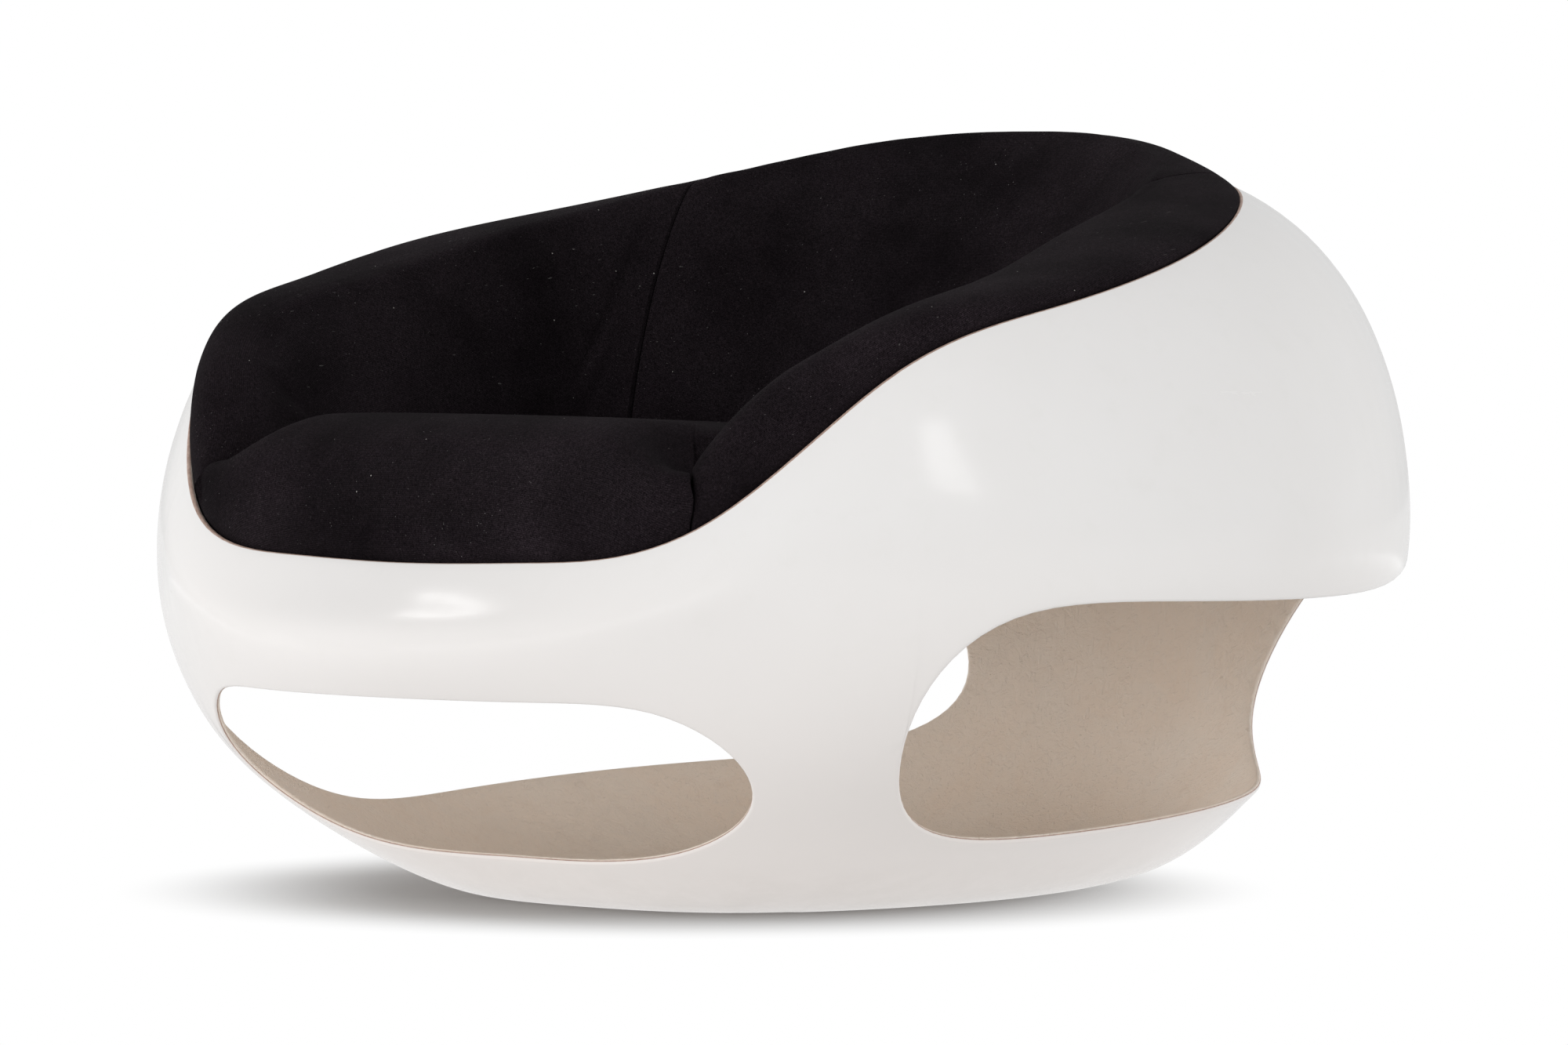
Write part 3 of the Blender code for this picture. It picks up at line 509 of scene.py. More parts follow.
def seat_outline(degrees):
    """Reach of the rounded outline where the seat pad meets the pads round it."""
    middle = (SEAT_OUTLINE_FRONT_Y + SEAT_OUTLINE_BACK_Y) / 2
    half_depth = (SEAT_OUTLINE_BACK_Y - SEAT_OUTLINE_FRONT_Y) / 2
    low = np.zeros_like(degrees)
    high = np.ones_like(degrees)
    for _ in range(OUTLINE_HALVINGS):
        reach = (low + high) / 2
        point = place(degrees, reach, 0.0)
        across = np.abs(point[..., 0] / SEAT_OUTLINE_HALF_WIDTH) ** SEAT_OUTLINE_POWER
        along = np.abs((point[..., 1] - middle) / half_depth) ** SEAT_OUTLINE_POWER
        inside = across + along < 1
        low = np.where(inside, reach, low)
        high = np.where(inside, high, reach)
    return reach


def blend(a, b, t):
    return a + (b - a) * t


def smoothstep(value):
    value = np.clip(value, 0.0, 1.0)
    return value * value * (3 - 2 * value)


def reach_and_height(points):
    return pair(np.hypot(points[..., 0], points[..., 1]), points[..., 2])


def pan_sections(degrees, lift=0.0):
    """Outer face of the pan, or a face lifted inward from it, from its top edge to the floor."""
    band = np.tile((BAND_TOP_SHARE, BAND_LOW_SHARE), (len(degrees), 1))
    ends = reach_and_height(shell_points(degrees, band, WALL + GAP + lift))
    start = ends[:, 1]
    floor = seat_outline(degrees) + PAN_FLOOR_MARGIN
    level = around(PAN_EDGE_HEIGHT, degrees) + lift
    corner = pair(floor - lift * PAN_CORNER_LIFT, level)
    end = pair(floor - PAN_FLOOR_BLEND, level)
    pull = pair(blend(start[:, 0], corner[:, 0], PAN_TOP_PULL), blend(start[:, 1], level, PAN_WALL_PULL))
    rows = [ends[:, 0]]
    for k in range(PAN_ROWS + 1):
        t = k / PAN_ROWS
        rows.append((1 - t) ** 3 * start + 3 * t * (1 - t) ** 2 * pull
                    + 3 * t * t * (1 - t) * corner + t ** 3 * end)
    return np.stack(rows, axis=1)


def pan_floor(degrees, reach, lift=0.0):
    """Height of the pan's underside, or of a face lifted from it, inside its floor edge."""
    edge = seat_outline(degrees) + PAN_FLOOR_MARGIN - PAN_FLOOR_BLEND
    return blend(PAN_MIDDLE_HEIGHT, around(PAN_EDGE_HEIGHT, degrees), reach / edge) + lift


def build_pan(materials):
    """Seat pan under the pads; its underside shows through the openings."""
    mesh = Mesh()
    degrees = np.arange(PAN_COLUMNS) * 360.0 / PAN_COLUMNS
    edges = []
    for lift in (0.0, PAN_WALL):
        section = pan_sections(degrees, lift)
        inward = [section]
        for share in PAN_FLOOR_RINGS:
            reach = section[:, -1, 0] * share
            inward.append(pair(reach, pan_floor(degrees, reach, lift))[:, None])
        section = np.concatenate(inward, axis=1)
        numbers = mesh.add(place(degrees[:, None], section[..., 0], section[..., 1]))
        mesh.grid(numbers, wrap=True)
        mesh.fan(numbers[:, -1], mesh.add(((0.0, 0.0, PAN_MIDDLE_HEIGHT + lift),))[0])
        edges.append(numbers[:, 0])
    mesh.grid(np.stack(edges, axis=1), wrap=True)
    return mesh.make("pan", materials)


def lip_paths(degrees):
    """Way of the cloth past the shell's rounded lip, as reach and height."""
    rows = []
    for depth, rise in ((WALL + GAP, 0.0), (WALL + GAP, LIP_SIDE_RISE),
                        (WALL * LIP_TOP_DEPTH, LIP_TOP_RISE)):
        points = shell_points(degrees, np.tile((1.0, LIP_BELOW), (len(degrees), 1)), depth)
        up = unit(points[:, 0] - points[:, 1])
        rows.append(reach_and_height(points[:, 0] + up * (WALL * rise)))
    return np.stack(rows, axis=1)


def smooth_paths(keys, count):
    """Rounded paths through key points, each with so many steps."""
    padded = [2 * keys[0] - keys[1]] + keys + [2 * keys[-1] - keys[-2]]
    pieces = len(keys) - 1
    rows = []
    for step in range(count + 1):
        t = pieces * step / count
        i = min(int(t), pieces - 1)
        s = t - i
        a, b, c, d = padded[i:i + 4]
        rows.append(0.5 * (2 * b + (c - a) * s + (2 * a - 5 * b + 4 * c - d) * s * s
                           + (3 * b - a - 3 * c + d) * s ** 3))
    return np.stack(rows, axis=1)


def corner_dip(points):
    """How far the cloth falls towards a front corner, at places in plan."""
    corner = place(SEAM_ANGLE, CORNER_REACH, 0.0)
    across = np.abs(points[..., 0]) - corner[0]
    away = np.sqrt(across ** 2 + (points[..., 1] - corner[1]) ** 2 + CORNER_TIP_ROUND ** 2)
    return CORNER_DIP * np.maximum(1 - away / CORNER_RADIUS, 0.0) ** 2


def seat_height(points):
    """Top of the seat pad at places in plan."""
    back = np.maximum(points[..., 1] - SEAT_FRONT_Y, 0.0)
    side = SEAT_SIDE_DROP * (points[..., 0] / SEAT_HALF_WIDTH) ** 4
    return SEAT_HEIGHT_FRONT - SEAT_FALL * back - side - corner_dip(points)


def pad_sections(degrees):
    """Sections of the back and side pads, as closed paths from the pan round to its floor."""
    lip = lip_paths(degrees)
    lip_reach = lip[:, -1, 0]
    lip_height = lip[:, -1, 1]
    rim_reach = around(RIM_REACH, degrees)
    crest = rim_reach - around(CREST_INSET, degrees)
    beyond = np.abs((degrees + 180) % 360 - 180) - SEAM_ANGLE
    dip = PAD_CORNER_DIP * np.clip(1 - beyond / PAD_CORNER_SPAN, 0.0, 1.0) ** 2
    top = around(RIM_HEIGHT, degrees) + around(CREST_RISE, degrees) - dip
    foot = seat_outline(degrees)
    seat = seat_height(place(degrees, foot, 0.0)) - SEAT_EDGE_DROP
    outer = np.maximum(rim_reach + PAD_OVERHANG, lip_reach)
    shelf = []
    for k in range(1, PAD_OUTER_ROWS):
        turn = math.pi / 2 * k / PAD_OUTER_ROWS
        reach = crest + (outer - crest) * math.cos(turn) ** PAD_FULLNESS
        shelf.append(pair(reach, lip_height + (top - lip_height) * math.sin(turn) ** PAD_FULLNESS))
    inside = crest - CREST_HALF_WIDTH
    drop = top - CREST_INNER_DROP
    keys = [pair(crest, top), pair(inside, drop)]
    for inward, down in PAD_FACE_SHARES:
        keys.append(pair(blend(inside, foot, inward) - PAD_BELLY, blend(drop, seat, down)))
    keys += [pair(foot + PAD_FOOT_OUT, seat + PAD_FOOT_RISE), pair(foot, seat)]
    face = smooth_paths(keys, PAD_INNER_ROWS)
    face[..., 0] = np.maximum(face[..., 0], foot[:, None])
    pan = pan_face(degrees)
    floor = pair(foot, pan_floor(degrees, foot, PAN_WALL + PAD_GAP))[:, None]
    shelf = np.stack(shelf, axis=1)
    path = np.concatenate((pan, lip, shelf, face, floor), axis=1)
    free = np.zeros(path.shape[1], bool)
    free[pan.shape[1] + 3:-3] = True
    return path, free, pan.shape[1] + 3 + len(shelf[0])


def pan_face(degrees):
    """Every third row of the pan's inner face, from its floor end up to its top edge, a gap away."""
    rows = pan_sections(degrees, PAN_WALL + PAD_GAP)
    return np.concatenate((rows[:, :0:-3], rows[:, :1]), axis=1)


def spaced(length):
    """Shares from 0 to 1 along a pad, close together beside the seams at its two ends."""
    steps = []
    step = SEAM_STEP
    while step < PAD_STEP:
        steps.append(step)
        step *= SEAM_STEP_GROWTH
    middle = length - 2 * sum(steps)
    count = int(middle / PAD_STEP) + 1
    every = steps + [middle / count] * count + steps[::-1]
    return np.append(0.0, np.cumsum(every)) / length


def lengths_from(points, start):
    """Length along each path of points, counted from one point of it."""
    steps = np.linalg.norm(np.diff(points, axis=1), axis=2)
    total = np.concatenate((np.zeros((len(points), 1)), np.cumsum(steps, axis=1)), axis=1)
    return total - total[:, start:start + 1]


def plane_distance(points, plane):
    return (points - plane[0]) @ plane[1]


def seam_planes():
    """Front and rear seam of the left pad: a point and the direction into the pad."""
    turn = math.radians(SEAM_ANGLE)
    front = np.array((math.cos(turn), math.sin(turn), 0.0))
    rear = unit(np.array((1.0, -BACK_SEAM_SLANT, 0.0)))
    return (front * GAP / 2, front), (np.array((BACK_SEAM_X, BACK_SEAM_Y, 0.0)) + rear * GAP / 2, rear)


def crossings(table, points, plane, low, high):
    """Plan angle at which each row of points meets a plane, between two plan angles."""
    inside = (table >= low) & (table <= high)
    distance = plane_distance(points[inside], plane)
    order = 1 if distance[-1].mean() > distance[0].mean() else -1
    return np.array([np.interp(0.0, row[::order], table[inside][::order]) for row in distance.T])


def ring_grid(name, start, end, planes, wool):
    """One pad of the ring as a fine grid; each row runs from its start angle to its end angle."""
    table, paths, free, crest = SECTIONS
    length = abs(math.radians(end[crest] - start[crest])) * paths[:, crest, 0].mean()
    shares = spaced(length)
    degrees = start + (end - start) * shares[:, None]
    rows = [[np.interp(d, table, row) for d, row in zip(degrees.T, paths[..., k].T)] for k in (0, 1)]
    points = place(degrees, *(np.stack(row, axis=1) for row in rows))
    down = lengths_from(points, crest)
    mesh = Mesh()
    numbers = mesh.add(points, pair((shares * length)[:, None], down))
    mesh.grid(np.concatenate((numbers, numbers[:, :1]), axis=1))
    mesh.face(numbers[0][::-1])
    mesh.face(numbers[-1])
    item = mesh.make(name, (wool,), merge=0)
    fixed = np.broadcast_to(~free, numbers.shape).copy()
    fixed[:SEAM_PINNED] = True
    fixed[-SEAM_PINNED:] = True
    hidden = np.where(~free)[0]
    first = down[:, hidden[hidden < crest].max(), None]
    last = down[:, hidden[hidden > crest].min(), None]
    showing = smoothstep(np.minimum(down - first, last - down) / SEAM_FADE)
    outer = smoothstep((CREST_HALF_WIDTH - down) / SEAM_FADE)
    tuck = np.zeros(numbers.shape)
    for plane in planes:
        at_back = plane[0][1] > BACK_SEAM_Y / 2
        share = 1 - (1 - BAND_SEAM_SHARE) * outer if at_back else 1.0
        beside = np.abs(plane_distance(points, plane))
        tuck = np.maximum(tuck, SEAM_TUCK * np.exp(-beside / SEAM_REACH) * showing * share)
    loose = 1 - (1 - BAND_CALM) * outer
    return item, fixed.ravel(), tuck.ravel(), planes, loose.ravel()


def mirrored(plane):
    flip = np.array((-1.0, 1.0, 1.0))
    return plane[0] * flip, plane[1] * flip


def build_ring(wool):
    """Back pad and the two side pads."""
    table, paths = SECTIONS[:2]
    points = place(table[:, None], paths[..., 0], paths[..., 1])
    front, rear = seam_planes()
    start = crossings(table, points, front, *FRONT_SEAM_RANGE)
    end = crossings(table, points, rear, *REAR_SEAM_RANGE)
    other = (rear[0] - rear[1] * GAP, rear[1])
    beyond = crossings(table, points, other, *REAR_SEAM_RANGE)
    left = ring_grid("left_arm_cushion", start, end, (front, rear), wool)
    right = ring_grid("right_arm_cushion", 360 - start, 360 - end, (mirrored(front), mirrored(rear)), wool)
    back = ring_grid("back_cushion", beyond, 360 - beyond, (other, mirrored(other)), wool)
    return {"left_arm_pad": left, "right_arm_pad": right, "back_pad": back}


def seat_sections(degrees, front):
    """Sections of the seat pad from near the middle of its top, round the edge, to its floor."""
    foot = seat_outline(degrees) - GAP
    floor = pan_floor(degrees, foot, PAN_WALL + PAD_GAP)
    lip = lip_paths(degrees)
    rim_reach = around(RIM_REACH, degrees)
    inner = np.minimum(rim_reach - ROLL_DEPTH, foot - SEAT_EDGE_ROUND)
    crest_height = seat_height(place(degrees, inner, 0.0))[:, None]
    share = np.arange(1, SEAT_RINGS + 1) / SEAT_RINGS
    reach = inner[:, None] * share
    height = seat_height(place(degrees[:, None], reach, 0.0)) + SEAT_CROWN * (1 - share ** 2)
    parts = [pair(reach, height)]
    pan = pan_face(degrees)[:, ::-1]
    if front:
        nose_height = lip[:, -1, 1] + NOSE_RISE
        turn = np.pi / 2 * np.arange(1, ROLL_ROWS + 1) / ROLL_ROWS
        reach = inner[:, None] + (rim_reach - inner)[:, None] * np.sin(turn) ** ROLL_OUT_BEND
        fall = crest_height - nose_height[:, None] - corner_dip(place(degrees[:, None], reach, 0.0))
        height = nose_height[:, None] + fall * np.maximum(np.cos(turn), 0.0) ** ROLL_TOP_BEND
        under = pair(blend(rim_reach, lip[:, -1, 0], NOSE_UNDER_PULL), lip[:, -1, 1] + NOSE_UNDER_RISE)
        nose = smooth_paths([pair(rim_reach, nose_height), under, lip[:, -1]], NOSE_ROWS)[:, 1:]
        parts += [pair(reach, height), nose, lip[:, -2::-1], pan]
    else:
        edge = seat_height(place(degrees, foot, 0.0))
        turn = np.pi / 2 * np.arange(1, SEAT_EDGE_ROWS + 1) / SEAT_EDGE_ROWS
        reach = inner[:, None] + (foot - inner)[:, None] * np.sin(turn)
        parts.append(pair(reach, edge[:, None] - SEAT_EDGE_DROP * (1 - np.cos(turn))))
        count = ROLL_ROWS + NOSE_ROWS + 2 + pan.shape[1] - SEAT_EDGE_ROWS
        share = np.arange(1, count + 1) / count
        wall_top = edge - SEAT_EDGE_DROP
        parts.append(pair(foot[:, None], wall_top[:, None] + (floor - wall_top)[:, None] * share))
    return np.concatenate(parts, axis=1)


def round_corners(points):
    """Takes the crease out of the turn from the seat's top into the roll at its two corners."""
    share = np.minimum(corner_dip(points) / (CORNER_SMOOTH_SHARE * CORNER_DIP), 1.0)
    share[:, :SEAT_STILL_RINGS] = 0
    share[:, SEAT_RINGS + ROLL_ROWS - SEAT_STILL_RINGS:] = 0
    for _ in range(CORNER_SMOOTHING):
        mean = (points[:, :-2] + points[:, 2:]) / 2
        points[:, 1:-1] += (mean - points[:, 1:-1]) * 0.5 * share[:, 1:-1, None]


def build_seat(wool):
    """Seat pad: crowned on top and rolled over the front lip."""
    plane = seam_planes()[0]
    arc = math.radians(SEAM_ANGLE) * 2 * SEAT_HALF_WIDTH * SEAT_ARC_STRETCH
    front = SEAM_ANGLE * (2 * spaced(arc) - 1)
    rest = spaced(2 * math.pi * SEAT_HALF_WIDTH - arc / SEAT_ARC_STRETCH)
    rest = SEAM_ANGLE + (360 - 2 * SEAM_ANGLE) * rest
    sections = []
    for degrees, is_front in ((front, True), (rest, False)):
        section = seat_sections(degrees, is_front)
        points = place(degrees[:, None], section[..., 0], section[..., 1])
        left, right = (-1, 0) if is_front else (0, -1)
        points[left] -= plane[1] * GAP / 2
        points[right] -= mirrored(plane)[1] * GAP / 2
        if is_front:
            round_corners(points)
        sections.append(points)
    points = np.concatenate(sections)
    degrees = np.append(front, rest)
    top = np.array((0.0, 0.0, float(seat_height(np.zeros(3))) + SEAT_CROWN))
    bottom = np.array((0.0, 0.0, PAN_MIDDLE_HEIGHT + PAN_WALL + PAD_GAP))
    centre = np.broadcast_to(top, (len(points), 1, 3))
    out = lengths_from(np.concatenate((centre, points), axis=1), 0)[:, 1:]
    turn = np.radians(degrees)[:, None]
    mesh = Mesh()
    numbers = mesh.add(points, pair(out * np.sin(turn), -out * np.cos(turn)))
    ends = mesh.add((top, bottom), np.zeros((2, 2)))
    mesh.grid(numbers, wrap=True)
    mesh.fan(numbers[:, 0], ends[0])
    mesh.fan(numbers[:, -1], ends[1], flip=True)
    item = mesh.make("seat_cushion", (wool,), merge=0)
    fixed = np.zeros(numbers.shape, bool)
    many = len(front)
    nose_end = SEAT_RINGS + ROLL_ROWS + NOSE_ROWS - 2
    fixed[:many, nose_end:] = True
    fixed[many:, SEAT_RINGS + SEAT_EDGE_ROWS - 2:] = True
    fixed[:SEAM_PINNED, SEAT_RINGS:] = True
    fixed[many - SEAM_PINNED:many, SEAT_RINGS:] = True
    fixed[:, :SEAT_STILL_RINGS] = True
    tuck = np.zeros(numbers.shape)
    beside = np.minimum(np.abs(plane_distance(points, plane)),
                        np.abs(plane_distance(points, mirrored(plane))))
    seam = out[:many]
    start, end = (seam[:, k, None] for k in (SEAT_RINGS - 1, nose_end))
    showing = smoothstep(np.minimum(seam - start, end - seam) / SEAM_FADE)
    tuck[:many] = SEAM_TUCK * np.exp(-beside[:many] / SEAM_REACH) * showing
    fixed = np.append(fixed, (True, True))
    return item, fixed, np.append(tuck, (0.0, 0.0)), (plane, mirrored(plane)), np.ones(len(fixed))


def read_vectors(items, kind):
    values = np.empty(len(items) * 3)
    items.foreach_get(kind, values)
    return values.reshape(-1, 3)


def set_points(data, points):
    data.vertices.foreach_set("co", points.ravel())
    data.update()


def swell(pads):
    """Cloth pressure puffs the free cloth; points near seams and hidden faces stay."""
    scene = bpy.context.scene
    for item, fixed, *_ in pads:
        group = item.vertex_groups.new(name="pinned")
        group.add([int(k) for k in np.where(fixed)[0]], 1.0, "REPLACE")
        cloth = item.modifiers.new("puff", "CLOTH")
        cloth.settings.vertex_group_mass = "pinned"
        cloth.settings.use_pressure = True
        cloth.settings.uniform_pressure_force = CLOTH_PRESSURE
        cloth.settings.effector_weights.gravity = 0.0
        cloth.collision_settings.use_collision = False
    for frame_number in range(1, CLOTH_FRAMES + 1):
        scene.frame_set(frame_number)
    graph = bpy.context.evaluated_depsgraph_get()
    results = [read_vectors(item.evaluated_get(graph).data.vertices, "co") for item, *_ in pads]
    for (item, fixed, _, _, loose), result in zip(pads, results):
        item.modifiers.clear()
        item.vertex_groups.clear()
        rest = read_vectors(item.data.vertices, "co")
        near = KDTree(int(fixed.sum()))
        for k, point in enumerate(rest[fixed]):
            near.insert(point, k)
        near.balance()
        calm = np.hypot(rest[:, 0], rest[:, 1]) < SEAT_CALM_RADIUS
        distance = np.array([near.find(p)[2] for p in rest])
        distance[calm] = SEAM_FREE
        move = result - rest
        normals = read_vectors(item.data.vertex_normals, "vector")
        inward = np.minimum((move * normals).sum(axis=1, keepdims=True), 0.0)
        move -= normals * inward * (1 - CLOTH_SHRINK)
        move[calm & (rest[:, 2] > SEAT_MIDDLE_HEIGHT)] = (0.0, 0.0, CLOTH_LIMIT)
        move[calm & (rest[:, 2] <= SEAT_MIDDLE_HEIGHT)] = 0.0
        size = np.linalg.norm(move, axis=1, keepdims=True) + 1e-9
        limit = CLOTH_LIMIT * (smoothstep(distance / SEAM_FREE) * loose)[:, None]
        set_points(item.data, rest + move / size * limit * np.tanh(size / CLOTH_LIMIT))
    scene.frame_set(1)


def draw_in(pad):
    """Seams: the cloth goes in beside each one, in its own plane."""
    item, _, tuck, planes, _ = pad
    points = read_vectors(item.data.vertices, "co")
    inward = -read_vectors(item.data.vertex_normals, "vector")
    for _, direction in planes:
        inward -= np.outer(inward @ direction, direction)
    inward /= np.linalg.norm(inward, axis=1, keepdims=True) + 1e-9
    set_points(item.data, points + inward * tuck[:, None])


def build_pads(wool):
    """All four upholstery pads."""
    pads = build_ring(wool)
    pads["seat_pad"] = build_seat(wool)
    swell(list(pads.values()))
    for node, pad in pads.items():
        draw_in(pad)
        item = pad[0]
        if node != "seat_pad":
            finer = item.modifiers.new("finer", "SUBSURF")
            finer.levels = 1
            finer.render_levels = 1
        dress(item, "black_wool", node)


class Look:
    """The node tree of a material or of the world, and short ways to add nodes to it."""

    def __init__(self, owner):
        owner.use_nodes = True
        self.owner = owner
        self.nodes = owner.node_tree.nodes

    def put(self, socket, value):
        """Links a node's output to a socket, or sets a number, a vector or a colour there."""
        if isinstance(value, bpy.types.NodeSocket):
            self.owner.node_tree.links.new(value, socket)
        elif socket.type == "RGBA":
            socket.default_value = (*value, 1.0)
        else:
            socket.default_value = value

    def fill(self, node, **inputs):
        """Sets a node's inputs by their names, with underscores for spaces."""
        for name, value in inputs.items():
            self.put(node.inputs[name.replace("_", " ")], value)
        return node

    def node(self, kind, **inputs):
        return self.fill(self.nodes.new("ShaderNode" + kind), **inputs)

    def place(self):
        return self.node("TexCoord").outputs["Object"]

    def noise(self, vector, scale, detail=3.0, roughness=0.5, distortion=0.0):
        return self.node("TexNoise", Vector=vector, Scale=scale, Detail=detail, Roughness=roughness,
                         Distortion=distortion).outputs["Fac"]

    def streaks(self, vector, scales, *kind):
        """Noise with a scale of its own along each axis."""
        return self.noise(self.node("Mapping", Vector=vector, Scale=scales).outputs["Vector"], 1.0, *kind)

    def span(self, value, low, high, start=0.0, end=1.0):
        """A value carried from one range to another, kept inside it."""
        return self.node("MapRange", Value=value, From_Min=low, From_Max=high, To_Min=start,
                         To_Max=end).outputs["Result"]

    def math(self, operation, one, two=0.0, kind="Math"):
        made = self.node(kind)
        made.operation = operation
        self.put(made.inputs[0], one)
        self.put(made.inputs[1], two)
        return made.outputs["Value"]

    def times(self, one, two):
        return self.math("MULTIPLY", one, two)

    def mix(self, factor, one, two):
        """Two colours mixed: inputs 6 and 7 and output 2 of the node are its colours."""
        made = self.node("Mix")
        made.data_type = "RGBA"
        for k, value in ((0, factor), (6, one), (7, two)):
            self.put(made.inputs[k], value)
        return made.outputs[2]

    def spots(self, vector, scale, inner, outer, rare, full):
        """Round spots with soft edges, in the few cells whose random value is high."""
        cells = self.node("TexVoronoi", Vector=vector, Scale=scale).outputs
        chance = self.node("SeparateColor", Color=cells["Color"]).outputs["Red"]
        return self.times(self.span(cells["Distance"], inner, outer, 1.0, 0.0),
                          self.span(chance, rare, full))

    def bump(self, height, distance, normal=None, strength=1.0):
        made = self.node("Bump", Height=height, Distance=distance, Strength=strength)
        if normal is not None:
            self.put(made.inputs["Normal"], normal)
        return made.outputs["Normal"]

    def finish(self, **values):
        self.fill(self.nodes["Principled BSDF"], **values)
        return self.owner


def surface(name):
    """A new material, ready for its nodes."""
    return Look(bpy.data.materials.new(name))


def gelcoat_look():
    """Glossy white gelcoat, faintly clouded, with small chips and soft scuffs, a painted warm shade tint
    low on the bowl and patchy darkening near the base.
    """
    look = surface("gelcoat")
    where = look.place()
    cloud = look.noise(where, 3.5, 4.0, 0.6)
    colour = look.mix(look.span(cloud, 0.3, 0.7), (0.858, 0.845, 0.836), (0.832, 0.817, 0.804))
    fine = look.noise(where, 38.0, 5.0, 0.65)
    colour = look.mix(look.span(fine, 0.55, 0.8, 0.0, 0.35), colour, (0.80, 0.79, 0.765))
    height = look.node("SeparateXYZ", Vector=where).outputs["Z"]
    # Painted shade: a warmer, pinker tint towards the bottom stands in for the shaded lower bowl
    colour = look.mix(look.span(height, 0.03, 0.33, 0.8, 0.0), colour, (0.86, 0.80, 0.765))
    # Patchy darkening over the lowest 5 cm of the shell, towards the floor
    darker_near_base = look.times(look.span(height, 0.0, 0.05, 1.0, 0.0),
                       look.span(look.noise(where, 22.0, 6.0, 0.7), 0.35, 0.75))
    colour = look.mix(look.times(darker_near_base, 0.35), colour, (0.55, 0.51, 0.45))
    chips = look.spots(where, 11.0, 0.012, 0.026, 0.62, 0.64)
    colour = look.mix(look.times(chips, 0.75), colour, (0.28, 0.23, 0.18))
    scuff = look.span(look.streaks(where, (9.0, 9.0, 60.0), 6.0, 0.7), 0.58, 0.78)
    rough = look.math("ADD", look.span(fine, 0.3, 0.7, 0.13, 0.19), look.times(scuff, 0.14))
    normal = look.bump(look.noise(where, 7.0, 1.0, 0.4), 0.0009)
    normal = look.bump(look.noise(where, 120.0, 2.0, 0.5), 0.00003, normal)
    return look.finish(Base_Color=colour, Roughness=rough, Normal=normal, Coat_Weight=0.5,
                       Coat_Roughness=0.11, Specular_IOR_Level=0.5)


def laminate_look():
    """Raw inside of the laminate: pinkish beige, clouded, streaked and lightly dimpled."""
    look = surface("laminate")
    where = look.place()
    cloud = look.span(look.noise(where, 4.5, 5.0, 0.6, 0.4), 0.3, 0.7)
    colour = look.mix(cloud, (0.90, 0.785, 0.68), (0.94, 0.86, 0.78))
    patch = look.span(look.noise(where, 16.0, 6.0, 0.68, 0.8), 0.42, 0.66)
    colour = look.mix(look.times(patch, 0.45), colour, (0.89, 0.83, 0.76))
    stain = look.streaks(where, (30.0, 30.0, 52.0), 5.0, 0.7, 1.2)
    colour = look.mix(look.times(look.span(stain, 0.56, 0.74), 0.16), colour, (0.66, 0.52, 0.41))
    turned = look.node("Mapping", Vector=where, Rotation=(0.5, 0.3, 0.7)).outputs["Vector"]
    one = look.streaks(turned, (14.0, 260.0, 260.0), 2.0, 0.6)
    two = look.streaks(where, (260.0, 240.0, 16.0), 2.0, 0.6)
    fibre = look.math("MAXIMUM", look.span(one, 0.56, 0.70), look.span(two, 0.56, 0.70))
    colour = look.mix(look.times(fibre, 0.20), colour, (0.91, 0.86, 0.79))
    rough_side = look.span(look.noise(where, 4.0, 2.0), 0.38, 0.62, 0.25, 1.0)
    dimple = look.times(look.noise(where, 62.0, 5.0, 0.68, 0.6), rough_side)
    normal = look.bump(dimple, 0.0042, strength=0.85)
    normal = look.bump(fibre, 0.0004, normal, 0.9)
    return look.finish(Base_Color=colour, Roughness=look.span(cloud, 0.0, 1.0, 0.48, 0.66),
                       Normal=normal, Specular_IOR_Level=0.4)


def raw_edge_look():
    """Thin trimmed line of resin at the inner corner of every cut edge."""
    look = surface("raw_edge")
    grain = look.span(look.noise(look.place(), 160.0, 4.0, 0.7), 0.35, 0.65)
    colour = look.mix(grain, (0.38, 0.25, 0.20), (0.54, 0.40, 0.335))
    return look.finish(Base_Color=colour, Roughness=0.62, Normal=look.bump(grain, 0.0002))


def woven(look, where):
    """Ribs of staggered threads that wander a little, from the cloth's own coordinates."""
    layer = look.node("UVMap")
    layer.uv_map = "Weave"
    cloth = look.node("SeparateXYZ", Vector=layer.outputs["UV"]).outputs
    wander = look.span(look.noise(where, 26.0, 3.0, 0.6), 0.0, 1.0, -RIB_WANDER, RIB_WANDER)
    down = look.math("ADD", cloth["Y"], wander)
    shift = look.times(look.math("FLOOR", look.math("DIVIDE", down, RIB_PITCH)), RIB_PITCH * 0.37)
    across = look.math("ADD", cloth["X"], shift)
    rib, thread = (look.span(look.math("SINE", look.times(way, 2 * math.pi / pitch)), -1.0, 1.0)
                   for way, pitch in ((down, RIB_PITCH), (across, THREAD_PITCH)))
    return look.times(rib, look.math("ADD", look.times(thread, 0.35), 0.65))


